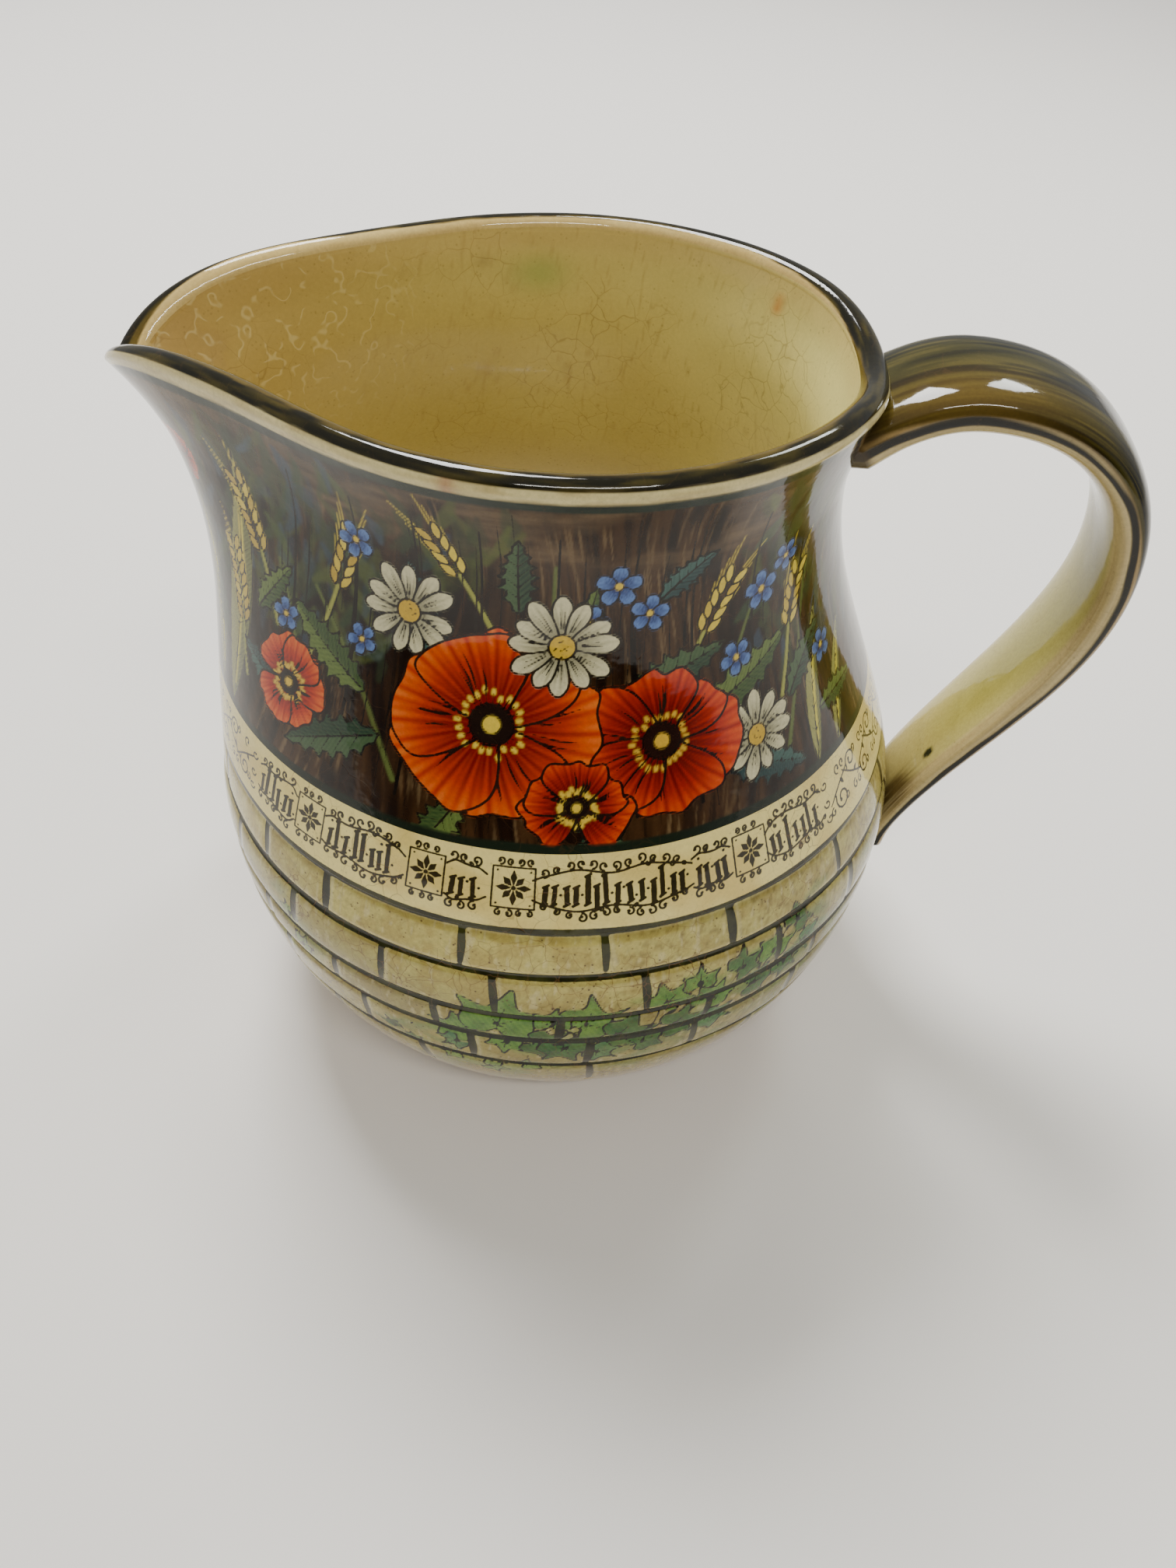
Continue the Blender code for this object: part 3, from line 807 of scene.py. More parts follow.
def corn_ear(grid, spot, length, bearing, tints, random, stem):
    """An ear of corn on its stem, with paired grains and long bristles."""
    pale, deep = tints
    bend = random.uniform(-2.0, 2.0)
    stalk = smooth_line([(-bend * 0.6, -stem, 0.42), (-bend * 0.1, -stem / 2, 0.38), (0, 0, 0.34)])
    grid.brush(spot, rotated(stalk, bearing), shade(150, 152, 70), soft=0.4)
    edge = stalk.copy()
    edge[:, 0] += 0.5
    edge[:, 2] = 0.14
    grid.ink(spot, rotated(edge, bearing))
    shape = smooth_loop([(0, 0), (-0.75, 1.2), (-0.55, 2.6), (0, 3.3), (0.6, 2.5), (0.7, 1.1)], 4)
    row_height = 2.1
    for row in range(int(length / row_height)):
        up = row * row_height
        for side in (-1, 1):
            grain = rotated(shape, side * 24)
            grain[:, 0] += side * 0.55 + bend * (up / length) ** 2
            grain[:, 1] += up
            tone = mixed(pale, deep, random.uniform(0, 0.8))
            bristle = [(side * 1.3, up + 3.0, 0.12), (side * 2.6, up + 8.0, 0.06)]
            grid.brush(spot, rotated(bristle, bearing), pale, soft=0.3, opacity=0.8)
            grid.fill(spot, rotated(grain, bearing), tone, line=0.17)


# Tones of the sprays: pale and deep for leaves and small flowers; deep, bright and glowing for the blooms
RED = (shade(92, 8, 4), shade(176, 34, 10), shade(226, 96, 30))
EMBER = (shade(116, 12, 5), shade(194, 54, 12), shade(230, 124, 40))
CREAM = (shade(206, 200, 160), shade(140, 136, 104))
CORN = (shade(222, 198, 72), shade(170, 136, 44))
BLUE = (shade(92, 122, 176), shade(38, 56, 108))
GREEN = (shade(98, 116, 56), shade(40, 62, 34))
MOSS = (shade(70, 92, 58), shade(30, 50, 38))
TEAL = (shade(62, 92, 84), shade(28, 48, 50))
BLADE = (shade(150, 148, 78), shade(92, 96, 52))


def paint_spray(grid, random):
    """The spray of flowers on the front, in the colours of the ware."""
    for spot, bearing, length in (
        ((-112, 92), -38, 34), ((-90, 96), 6, 36), ((-64, 92), 30, 34), ((-40, 92), 16, 32),
        ((-132, 92), -20, 30),
    ):
        path = rotated(smooth_line([(0, 0, 0.5), (1.5, length / 2, 0.4), (0.5, length, 0.3)]), bearing)
        grid.brush(spot, path, shade(88, 100, 48), soft=0.5)
        path[:, 0] += 0.55
        path[:, 2] = 0.08
        grid.ink(spot, path)
    for angle, length, width, bearing, bend in (
        (-151, 50, 7.5, -3, 3), (-157, 40, 5.5, -9, -4), (-33, 30, 4.5, 6, 3), (-26, 24, 4.0, 14, 4),
    ):
        leaf(grid, (angle, 86), length, width, bearing, BLADE, bend)
        stripe = [(0.4, 4, 0.3), (0.4 + bend / 4, length / 2, 0.5), (bend * 0.7, length * 0.8, 0.2)]
        grid.brush((angle, 86), rotated(smooth_line(stripe), bearing), shade(206, 194, 66), soft=0.5)
    for spot, length, bearing, stem in (
        ((-150, 103), 15, -12, 10), ((-146, 118), 13, -26, 12), ((-128, 119), 12, 14, 14),
        ((-57, 117), 12, 28, 16), ((-36, 112), 12, 10, 12), ((-103, 127), 9, -32, 10),
    ):
        corn_ear(grid, spot, length, bearing, CORN, random, stem)
    for spot, length, width, bearing, tone, bend in (
        ((-120, 104), 19, 6.5, -64, GREEN, 2), ((-116, 98), 20, 7, -112, MOSS, -2),
        ((-106, 112), 17, 6, -28, TEAL, 2), ((-84, 112), 16, 6, 26, GREEN, -2),
        ((-72, 108), 18, 6.5, 62, MOSS, 2), ((-58, 104), 20, 7, 74, GREEN, -3),
        ((-54, 94), 18, 6.5, 104, TEAL, 2), ((-80, 92), 15, 6, 150, MOSS, 0),
        ((-100, 92), 15, 6, -150, GREEN, 0), ((-134, 96), 16, 6, -80, TEAL, 2),
        ((-38, 100), 15, 5.5, 40, MOSS, 2), ((-30, 94), 14, 5, 84, GREEN, 1),
        ((-156, 96), 14, 5, -20, MOSS, 0), ((-92, 122), 13, 5, -4, MOSS, 1),
        ((-66, 124), 11, 4.5, 44, TEAL, 1), ((-146, 108), 13, 5, 30, GREEN, 1),
    ):
        leaf(grid, spot, length, width, bearing, tone, bend, teeth=7)
    for spot, size in (
        ((-74, 127), 3.4), ((-68, 122), 3.0), ((-79, 121), 2.8), ((-124, 128), 3.0), ((-44, 121), 3.2),
        ((-38, 125), 2.6), ((-122, 112), 2.6), ((-50, 111), 3.0), ((-26, 104), 3.0), ((-139, 110), 2.8),
    ):
        little_flower(grid, spot, size, BLUE, random)

    def poppy(spot, size, bearings, tints, squash, heart, dark, pollen):
        """A bloom with its heart, whose size, dark middle and pollen are given too."""
        bloom(grid, spot, size, bearings, tints, random, squash)
        flower_heart(grid, spot, heart, shade(*dark), shade(*pollen), random)

    poppy((-136, 99), 8.5, (150, 70, 210, -40, 20), EMBER, 1.0, 8.0, (30, 24, 14), (214, 180, 60))
    daisy(grid, (-113, 119), 7.5, 11, CREAM, shade(196, 160, 50), random)
    daisy(grid, (-47, 97), 7.5, 11, CREAM, shade(196, 160, 50), random)
    poppy((-66, 101), 14.0, (100, 40, 168, -8, -70, -130), RED, 0.92, 12.0, (34, 16, 10), (204, 164, 54))
    poppy((-96, 104), 17.0, (96, 28, 160, -140, -84, -20), EMBER, 0.92, 13.5, (30, 18, 12), (218, 190, 66))
    poppy((-81, 92), 9.0, (120, 60, -120, -60, 0), RED, 0.85, 7.5, (30, 18, 12), (214, 184, 64))
    daisy(grid, (-84, 117), 8.0, 12, CREAM, shade(200, 166, 54), random)
    bloom(grid, (-167, 126), 6.0, (100, 20, -60), EMBER, random, folds=1)


def paint_back_spray(grid, random):
    """A sparser spray behind: a bloom between two daisies, each with a few leaves."""
    green = (shade(94, 108, 56), shade(40, 60, 34))
    ember = (shade(120, 14, 6), shade(196, 62, 16), shade(232, 140, 52))
    bloom_angle = 84
    for angle in (38, bloom_angle, 132):
        for bearing, length, tone in ((-70, 17, green), (-30, 15, MOSS), (30, 16, green), (75, 18, MOSS)):
            leaf(grid, (angle, 98), length, 6, bearing, tone, teeth=7)
        if angle == bloom_angle:
            bloom(grid, (angle, 102), 12, (120, 60, -120, -60, 0), ember, random)
            flower_heart(grid, (angle, 102), 10, shade(30, 18, 12), shade(214, 184, 64), random)
        else:
            daisy(grid, (angle, 100), 7, 11, CREAM, shade(196, 160, 50), random)


def paint_rim(grid):
    """Bands round the rim: olive-black on the lip's outer side, then a cream one and a dark green line."""
    angle, along = grid.angle_grid, grid.arc_grid
    crest = np.interp(-math.pi / 2, -grid.levels[~grid.outside], grid.arc[~grid.outside])
    out = crest - along + 0.22 * (value_noise(angle, along, 90, 8.0, 31, 2) - 0.5)
    streak = value_noise(angle, along, 60, 0.7, 32, 2)
    cream = mixed(shade(214, 200, 144), shade(178, 158, 104), rising(streak, 0.4, 0.5) * 0.7)
    stain = hump(degrees_off(angle, math.radians(-103)), 1.6)
    cream = mixed(cream, shade(168, 116, 88), 0.6 * stain)
    olive = mixed(shade(24, 22, 10), shade(66, 58, 22), rising(streak, 0.35, 0.5) * 0.7)
    brown = mixed(shade(66, 54, 18), shade(104, 86, 34), streak)
    green = mixed(shade(24, 34, 26), shade(44, 54, 42), streak)
    crest_tone = mixed(shade(190, 162, 96), shade(204, 180, 116), streak)

    def zone(low, high, colour, soft=0.35):
        """Paint between two distances, in mm, from the lip's crest outwards and down its side."""
        share = blend((out - low) / soft + 0.5) * blend((high - out) / soft + 0.5)
        grid.wash(colour, share)
        grid.clear_lines(share > 0.5)

    off_spout = wrap(angle - SPOUT)
    to_far_side = rising(np.sin(angle), -0.25, 0.6)
    by_handle = hump(wrap(angle - math.radians(8)), math.radians(34))
    by_spout = hump(degrees_off(angle, math.radians(-150)), 26)
    start = -2.6 + to_far_side * (1.5 + 2.0 * hump(off_spout, math.radians(30))) - 1.7 * by_handle
    start = start - 0.8 * by_spout + 0.3 * (streak - 0.5)
    olive_end = 2.6
    cream_end = 4.5 + 1.0 * hump(off_spout, math.radians(60))
    brown_end = 0.2 + 0.8 * (streak - 0.5) - 2.0 * by_handle - 1.0 * to_far_side
    zone(cream_end, cream_end + 1.7, green)
    zone(olive_end, cream_end, cream)
    zone(start, olive_end, olive)
    zone(start, brown_end, brown, 0.8)
    zone(-9.0, start, crest_tone)


def make_neck():
    """The outside above the band, with the rounded lip."""
    heights = np.linspace(BAND_TOP, LIP_CENTRE_HEIGHT, 176)
    turns = np.linspace(math.pi, LIP_SEAM_TURN, 26)[1:]
    grid = Grid(columns(880), [("outer", h) for h in heights] + [("lip", t) for t in turns])
    random = np.random.default_rng(41)
    paint_ground(grid)
    draw_grain(grid, random)
    foliage_mist(grid, random)
    paint_back_spray(grid, random)
    paint_spray(grid, random)
    near_band = 0.5 * (value_noise(grid.angle_grid, grid.arc_grid, 70, 9.0, 33, 2) - 0.5)
    foot = blend((1.9 + near_band - (grid.arc_grid - grid.arc[0])) / 0.5)
    grid.wash(shade(26, 34, 22), foot)
    grid.clear_lines(foot > 0.5)
    paint_rim(grid)
    material = glaze("glaze_neck", speckle=0.15, crazing=0.12, grain=0.22, lines=("ink",))
    normals, painted = ring_normals(grid.points), grid.painted()
    middle = len(grid.arc) // 2
    for name, rows in (("pitcher_neck", slice(0, middle + 1)), ("pitcher_mouth", slice(middle, None))):
        part = {key: value[rows] for key, value in painted.items()}
        grid_mesh(name, grid.points[rows], part, material, normals=normals[rows])


def curl(grid, spot, size, handed, bearing, width=0.17, turns=0.8):
    """A small open curl that leaves the spot along the bearing and ends in a dot."""
    share = np.linspace(0, 1, 14)
    reach = size * (1 - 0.68 * share)
    turn = handed * 2 * math.pi * turns * share + math.pi
    x, y = reach * np.cos(turn), reach * np.sin(turn)
    path = np.column_stack([x - x[0], y - y[0], np.full(len(share), width)])
    path[-1, 2] = width * 1.9
    grid.ink(spot, rotated(path, bearing - 90))


def pen_stroke(grid, angle, low, high, width, lean):
    """One heavy upright stroke with slanted diamond ends."""
    spot, half = (angle, (low + high) / 2), (high - low) / 2
    grid.ink(spot, [(-lean, -half + 0.3, width * 0.9), (0, 0, width), (lean, half - 0.3, width * 0.9)])
    for sign in (-1, 1):
        x, y = sign * lean, sign * half
        grid.ink(spot, [(-0.45 + x, y - 0.24, 0.28), (0.45 + x, y + 0.20, 0.24)])


def stroke_word(grid, start, end, random):
    """A row of heavy strokes in small groups: a lively texture that spells nothing."""
    foot, deep_foot, tall_top, dot_height = 76.4, 75.4, 81.6, 81.0
    angle, left = start + 1.0, 2
    while angle < end - 0.8:
        tall, deep = random.random() < 0.26, random.random() < 0.12
        low = deep_foot if deep else foot
        high = tall_top if tall else random.uniform(79.5, 79.9)
        pen_stroke(grid, angle, low, high, random.uniform(0.42, 0.52), random.uniform(-0.12, 0.12))
        if not tall and random.random() < 0.2:
            grid.dot((angle, dot_height), 0.27)
        left -= 1
        if left == 0:
            grid.dot((angle + 0.9, random.choice([77.4, 78.2, 79.0])), 0.25)
            left = random.integers(1, 4)
            angle += random.uniform(1.80, 1.95)
        else:
            angle += random.uniform(1.28, 1.42)


def framed_block(grid, start, end, random):
    """A thin frame round a bold rosette, with curls outside the frame."""
    spot, radius = ((start + end) / 2, BAND_MIDDLE), 67.0
    half_width, half_height = math.radians(end - start) / 2 * radius, 3.7
    corners = [(-1, -1), (1, -1), (1, 1), (-1, 1), (-1, -1)]
    grid.ink(spot, [(x * half_width, y * half_height, 0.17) for x, y in corners])
    for index in range(8):
        reach = 3.1 if index % 2 == 0 else 2.6
        petal = rotated([(0, 0.65, 0.14), (0, reach * 0.62, 0.56), (0, reach, 0.10)], 45 * index)
        petal[:, 0] *= 0.92
        grid.ink(spot, petal)
    grid.dot(spot, 0.38)
    for x in (-half_width + 0.75, half_width - 0.75):
        for y in (-3.0, 3.0):
            grid.dot(spot, 0.2, x, y)
    edge, handed = start + 0.9, 1
    while edge < end - 0.3:
        for height, bearing in ((BAND_MIDDLE + half_height, 0), (BAND_MIDDLE - half_height, 180)):
            curl(grid, (edge, height), random.uniform(0.6, 0.75), handed, bearing, 0.19)
        handed = -handed
        edge += 1.55


def scroll_edge(grid, start, end, random):
    """A thin looping line above and below a group of strokes, with curls along it."""
    width = math.radians(end - start) * BAND_RADIUS
    middle = (start + end) / 2
    phase = random.uniform(0, 6)
    across = np.linspace(-width / 2 + 0.2, width / 2 - 0.2, max(5, int(width / 1.2)))
    drawn_in = (np.abs(across) / (width / 2)) ** 8
    for side, base, bearing, small_bearing in ((1, 3.2, 0, 150), (-1, -3.5, 180, 30)):
        level = base + side * 0.42 * np.sin(across * 0.55 + phase) - side * 1.5 * drawn_in
        path = np.column_stack([across, level, np.full(len(across), 0.20)])
        grid.ink((middle, BAND_MIDDLE), smooth_line(path, 3))
        place, handed = -width / 2 + 1.0, 1
        while place < width / 2 - 0.6:
            height = BAND_MIDDLE + float(np.interp(place, across, level))
            angle = middle + math.degrees(place / BAND_RADIUS)
            size, turns = random.uniform(0.66, 0.95), random.uniform(0.7, 0.95)
            curl(grid, (angle, height), size, handed, bearing, 0.20, turns)
            if random.random() < 0.35:
                size = random.uniform(0.4, 0.55)
                curl(grid, (angle + 0.9, height), size, handed, small_bearing, 0.17, 0.7)
            handed = -handed
            place += random.uniform(1.9, 2.4)


def vine(grid, start, end, random, pen):
    """A running scroll with curls and small leaves, which fills the band at both ends and behind."""
    thin, thick = 0.17 * pen, 0.21 * pen
    # Where each small curl leaves the scroll, its size, its turn and its bearing
    small_curls = ((1.9, 2.2, 1.1, -1, -90), (-1.3, -2.6, 0.9, 1, 90), (3.4, -2.4, 0.85, -1, 90))
    angle, side = start, 1
    while angle < end:
        spot = (angle, VINE_HEIGHT - side * 1.2)
        curl(grid, spot, random.uniform(2.0, 2.4), side, 90 + side * 30, thick, 1.15)
        for on, up, size, handed, bearing in small_curls:
            spot = (angle + on, VINE_HEIGHT + side * up)
            curl(grid, spot, size, handed * side, 90 + bearing * side, 0.18 * pen)
        blot = rotated([(0, -0.8, 0.12), (0, 0, 0.42), (0, 0.9, 0.08)], random.uniform(-60, 60))
        grid.ink((angle + 2.6, VINE_HEIGHT + side * 0.4), blot)
        stem = [(-3.4, -side * 2.2, thin), (0, 0.3 * side, thick), (3.6, side * 2.2, thin)]
        grid.ink((angle + 1.4, VINE_HEIGHT), smooth_line(stem))
        angle += 5.0
        side = -side


def make_band():
    """The cream band with its scrolls and rows of strokes."""
    heights = np.linspace(BAND_FOOT, BAND_TOP, 66)
    grid = Grid(columns(1460, 0.56), [("outer", h) for h in heights])
    random = np.random.default_rng(52)
    cloud = value_noise(grid.angle_grid, grid.arc_grid, 40, 7.0, 51, 3)
    grid.paint[:] = mixed(shade(236, 219, 138), shade(219, 196, 114), rising(cloud, 0.35, 0.4))
    for start, end, framed in (
        (-139, -129.3, False), (-128.6, -123.2, True), (-122.4, -108.0, False), (-106.8, -101.4, True),
        (-100.8, -94.6, False), (-93.4, -87.4, True), (-86.6, -63.4, False), (-62.4, -55.8, False),
        (-54.8, -49.0, True), (-48.4, -35.4, False),
    ):
        if framed:
            framed_block(grid, start, end, random)
        else:
            stroke_word(grid, start, end, random)
            scroll_edge(grid, start, end, random)
    for start, end, pen in ((-31.0, 8.0, 1.0), (-196.0, -143.0, 1.0), (14.0, 158.0, 1.5)):
        vine(grid, start, end, random, pen)
    for side, start in ((1, -34.6), (-1, -140.2)):
        for height in (75.2, 78.0, 81.4):
            curl(grid, (start, height), 1.0, side, 90 * side)
    olive_line(grid, BAND_FOOT, 61)
    material = glaze(
        "glaze_band", speckle=0.25, crazing=0.6, grain=0.12, lines=("ink", "olive"),
        crackle_size=FINE_CRACKLE,
    )
    grid_mesh("pitcher_band", grid.points, grid.painted(), material)


def olive_line(grid, height, seed):
    """The brushed line along a moulded one: uneven in width, and thinner in places."""
    angle = grid.angle_grid
    # The noise varies round the body only; the one point off the rest sets how many rows its table has
    flat = np.zeros_like(angle)
    flat[0, 0] = 1.0
    wide = value_noise(angle, flat, 17, 1.0, seed, 2)
    drift = value_noise(angle, flat, 13, 1.0, seed + 1, 2) - 0.5
    away = np.abs(grid.arc_grid - float(grid.arc_at(height)) - 0.5 * drift) - (0.40 + 0.66 * wide)
    grid.lines["olive"] = np.minimum(grid.lines["olive"], away)


# Upright joints of each course from the top, as angles in degrees
JOINTS = (
    (-135.6, -120.9, -97.7, -76.6, -56.7, -33.4, -12.0, 12, 33, 55, 77, 98, 120, 142, 164, 186, 206),
    (-146.0, -128.1, -110.3, -92.7, -70.4, -47.9, -29.7, -8, 22, 44, 66, 88, 109, 131, 153, 176, 196),
    (-137.0, -119.9, -102.0, -83.0, -60.0, -38.7, -18.0, 8, 33, 55, 77, 98, 120, 142, 164, 186),
    (-133.0, -115.2, -96.5, -78.3, -61.2, -41.8, -22.0, 0, 22, 44, 66, 88, 109, 131, 153, 176, 208),
    (-124.0, -106.0, -77.5, -48.5, -26.0, 12, 33, 66, 98, 131, 164, 196, 216),
)


def paint_bricks(grid, random):
    """Stone-coloured blocks, each in its own tone, blotched and speckled, with painted light and shade.

    The blocks are in painted shade low down and towards the right side, and along each groove there is a
    painted highlight just above it and painted shade just below it.
    """
    angle, along = grid.angle_grid, grid.arc_grid
    blotch = value_noise(angle, along, 130, 3.2, 71, 3)
    fine = value_noise(angle, along, 620, 0.7, 72, 2)
    scratch = value_noise(angle, along, 520, 2.4, 73, 2)
    paint = mixed(shade(205, 192, 108), shade(187, 169, 90), rising(blotch, 0.32, 0.36))
    tone = np.ones(angle.shape)
    lines = (*COURSE_LINES, BRICKS_FOOT)
    for joints, top, bottom in zip(JOINTS, lines[:-1], lines[1:]):
        in_course = (grid.level_grid < top) & (grid.level_grid >= bottom)
        edges = np.sort(np.radians(np.array(joints)) % (2 * math.pi))
        block = np.searchsorted(edges, angle % (2 * math.pi)) % len(edges)
        tones = random.uniform(0.80, 1.06, len(edges))
        tone = np.where(in_course, tones[block], tone)
    off_front = degrees_off(angle, FRONT)
    # Painted shade: the blocks are darker low on the belly and towards the right side
    low = 1.0 - 0.33 * falling(grid.level_grid, 0.066, 0.012)
    right = 1.0 - 0.20 * rising(off_front, 8, 40)
    paint = paint * (tone * low * right)[..., None]
    stipple = rising(fine, 0.55, 0.2) * (0.35 + 0.65 * rising(off_front, -5, 40))
    paint = mixed(paint, shade(108, 92, 44), 0.62 * stipple)
    grid.paint[:] = mixed(paint, shade(214, 202, 150), 0.4 * rising(scratch, 0.66, 0.14))
    # Along each groove a painted highlight just above it and painted shade just below it
    for line in COURSE_LINES:
        over = along - float(grid.arc_at(line))
        pale = blend(1.0 - np.abs(over - 1.05) / 0.75) * (over > 0)
        grid.wash(shade(222, 206, 142), 0.6 * pale)
        painted_shade_below = blend(1.0 - np.abs(over + 1.3) / 1.3) * (over < 0)
        grid.wash(shade(98, 86, 44), 0.32 * painted_shade_below)
    grid.wash(shade(190, 160, 122), 0.55 * falling(grid.level_grid, 0.030, 0.012))


def draw_joints(grid, random):
    """The upright joints, as brushed strokes with rounded ends and a painted highlight along their right
    edge.
    """
    tops = [float(grid.arc_at(line)) for line in COURSE_LINES]
    lowest_course = 12.0
    bottoms = tops[1:] + [tops[-1] - lowest_course]
    for joints, line, top, bottom in zip(JOINTS, COURSE_LINES, tops, bottoms):
        for angle in joints:
            spot, depth = (angle, line * 1000), top - bottom
            first, last = -random.uniform(0.1, 0.9), -depth * random.uniform(0.82, 1.02)
            lean, wide = random.uniform(-0.35, 0.35), random.uniform(0.70, 0.98)
            path = [(-lean, first, wide * 0.8), (0.15, (first + last) / 2, wide), (lean, last, wide * 0.62)]
            path = smooth_line(path, 4)
            grid.stroke("olive", spot, path)
            # A painted highlight along the right edge of the joint
            path[:, 0] += wide + 0.45
            path[:, 2] = 0.25
            grid.brush(spot, path, shade(208, 198, 146), soft=0.9, opacity=0.45)


def ivy_leaf(grid, spot, size, bearing, tints, random):
    """A five-pointed ivy leaf with its veins."""
    half = [
        (0.0, 1.0), (0.15, 0.62), (0.34, 0.46), (0.80, 0.50), (0.60, 0.16), (0.68, -0.16), (0.46, -0.42),
        (0.20, -0.34),
    ]
    corners = half + [(0.0, -0.18)] + [(-x, y) for x, y in half[:0:-1]]
    corners = np.array(corners) * size + random.uniform(-0.07, 0.07, (len(corners), 2)) * size
    outline = rotated(smooth_loop(corners, 4), bearing)
    pale, deep = tints
    phase = random.uniform(0, 6)

    def tint(x, y):
        wash = 0.5 + 0.3 * np.sin(1.1 * x + phase) * np.cos(0.9 * y - phase) + 0.2 * np.sin(5 * x + 3 * y)
        return mixed(pale, deep, np.clip(wash + 0.25 * (np.hypot(x, y) / size - 0.5), 0, 1))

    grid.fill(spot, outline, tint, line=0.2, soft=0.5, opacity=0.9)
    for lean, reach in ((0, 0.85), (52, 0.72), (-52, 0.72), (118, 0.5), (-118, 0.5)):
        vein = [(0, -0.1 * size, 0.18), (0, reach * size * 0.6, 0.09)]
        grid.ink(spot, rotated(vein, bearing + lean))


IVY_TONES = {
    "bright": (shade(106, 148, 56), shade(46, 96, 36)),
    "deep": (shade(66, 112, 48), shade(26, 66, 34)),
    "blue": (shade(88, 132, 76), shade(40, 88, 58)),
    "faint": (shade(138, 160, 84), shade(96, 126, 62)),
}

# Ivy of the front: for each leaf its place, size, bearing and tone; the leaves of a group share a stem
IVY_GROUPS = (
    (
        (-98, 45, 6.4, -70, "bright"), (-92, 49.5, 10.8, 14, "bright"), (-86, 44, 6.8, 110, "deep"),
        (-79, 50.5, 8.8, 64, "bright"), (-82, 42.0, 6.6, 160, "deep"), (-74, 46, 7.2, 84, "deep"),
        (-91, 43, 4.6, 190, "bright"), (-77, 40, 5.0, 130, "blue"), (-84, 51, 5.0, 10, "bright"),
        (-99, 40, 4.2, 230, "blue"),
    ),
    (
        (-70, 42, 5.4, 70, "deep"), (-67, 54, 6.0, 40, "bright"), (-65, 46, 6.4, 80, "deep"),
        (-60, 51, 5.8, 30, "bright"), (-59, 44, 5.2, 110, "blue"), (-55, 57, 5.4, 60, "deep"),
        (-52, 50, 5.6, 90, "deep"), (-49, 57, 5.4, 20, "bright"), (-44, 61, 4.8, 50, "deep"),
        (-42, 54, 5.0, 100, "blue"), (-62, 57, 4.6, 0, "bright"), (-46, 51, 4.8, 130, "deep"),
    ),
    ((-110, 38, 2.6, -30, "deep"), (-107, 35, 2.6, 60, "bright")),
    ((-100, 33, 3.6, -90, "faint"), (-94, 30, 4.0, 100, "faint"), (-88, 33, 3.6, 60, "faint")),
    ((-129, 55, 3.4, -20, "faint"), (-127, 48, 3.4, 20, "faint")),
)


def creeper(grid, leaves, random):
    """Ivy leaves along a thin stem, with loose green washes round them."""
    for angle, height, _, _, tone in leaves:
        wash = mixed(IVY_TONES[tone][0], shade(150, 150, 96), 0.3)
        for _ in range(3):
            place = (angle + random.normal(0, 3.0), height + random.normal(0, 2.0))
            path = rotated([(-3, 0, 0.6), (0, 0.4, 1.4), (3, 0, 0.5)], random.uniform(-40, 40))
            grid.brush(place, path, wash, soft=1.8, opacity=0.5)
    # Stems join leaves that follow one another and are near, in mm at the belly's radius here
    radius, longest = 66.0, 14
    for first, second in zip(leaves[:-1], leaves[1:]):
        across, up = math.radians(second[0] - first[0]) * radius, second[1] - first[1]
        if abs(across) < longest:
            stem = [(0, 0, 0.14), (across * 0.5, up * 0.5 + 1.2, 0.16), (across, up, 0.12)]
            grid.ink(first[:2], smooth_line(stem, 5))
    for angle, height, size, bearing, tone in leaves:
        ivy_leaf(grid, (angle, height), size, bearing, IVY_TONES[tone], random)
    for angle, height, size, _, _ in leaves[::2]:
        place = (angle + random.uniform(-3, 3), height + size * 0.9)
        for _ in range(3):
            x, y = random.uniform(-1.8, 1.8, 2)
            grid.ink(place, [(x, y, 0.18), (x + 0.3, y + 0.25, 0.1)])


def make_belly():
    """The brick courses, the foot ring and the underside."""
    ring_inside = FOOT_RADIUS - FOOT_RING_WIDTH
    # The recess under the foot ends in a slope to the ring
    under = [("recess", r) for r in (0.004, 0.020, ring_inside - RECESS_DEPTH)]
    ring = [("under", r) for r in np.linspace(ring_inside, FOOT_RADIUS - FOOT_EDGE, 4)]
    low = np.linspace(FOOT_EDGE, BRICKS_FOOT, 9)
    heights = np.concatenate([low[:-1], np.linspace(BRICKS_FOOT, BAND_FOOT, 106)])
    grid = Grid(columns(800), under + ring + [("outer", h) for h in heights])
    random = np.random.default_rng(62)
    paint_bricks(grid, random)
    washes = (
        (-108, -88, 16, 30, 26), (-48, -22, 38, 60, 30), (-132, -122, 44, 60, 10), (-75, -40, 30, 46, 26),
    )
    for spot in scattered(washes, random):
        path = rotated([(-2.5, 0, 0.5), (0, 0.3, 1.5), (2.5, 0, 0.4)], random.uniform(-35, 35))
        grid.brush(spot, path, shade(112, 134, 80), soft=2.2, opacity=0.30)
    for row, height in enumerate(COURSE_LINES):
        olive_line(grid, height, 61 + 2 * row)
    draw_joints(grid, random)
    for leaves in IVY_GROUPS:
        creeper(grid, leaves, random)
    for start in (30, 105, 160):
        leaves = [(0, 42, 5.0, -50, "deep"), (8, 48, 5.6, 20, "bright"), (15, 43, 5.0, 90, "blue")]
        creeper(grid, [(start + along, *rest) for along, *rest in leaves], random)
    grid.sink(brick_relief(grid))
    centre = [AXIS_X, 0.0, RECESS_DEPTH]
    material = glaze(
        "glaze_bricks", speckle=0.9, crazing=0.75, grain=0.28, lines=("olive", "ink"),
        crackle_size=FINE_CRACKLE,
    )
    grid_mesh("pitcher_belly", grid.points, grid.painted(), material, centre_first=centre)


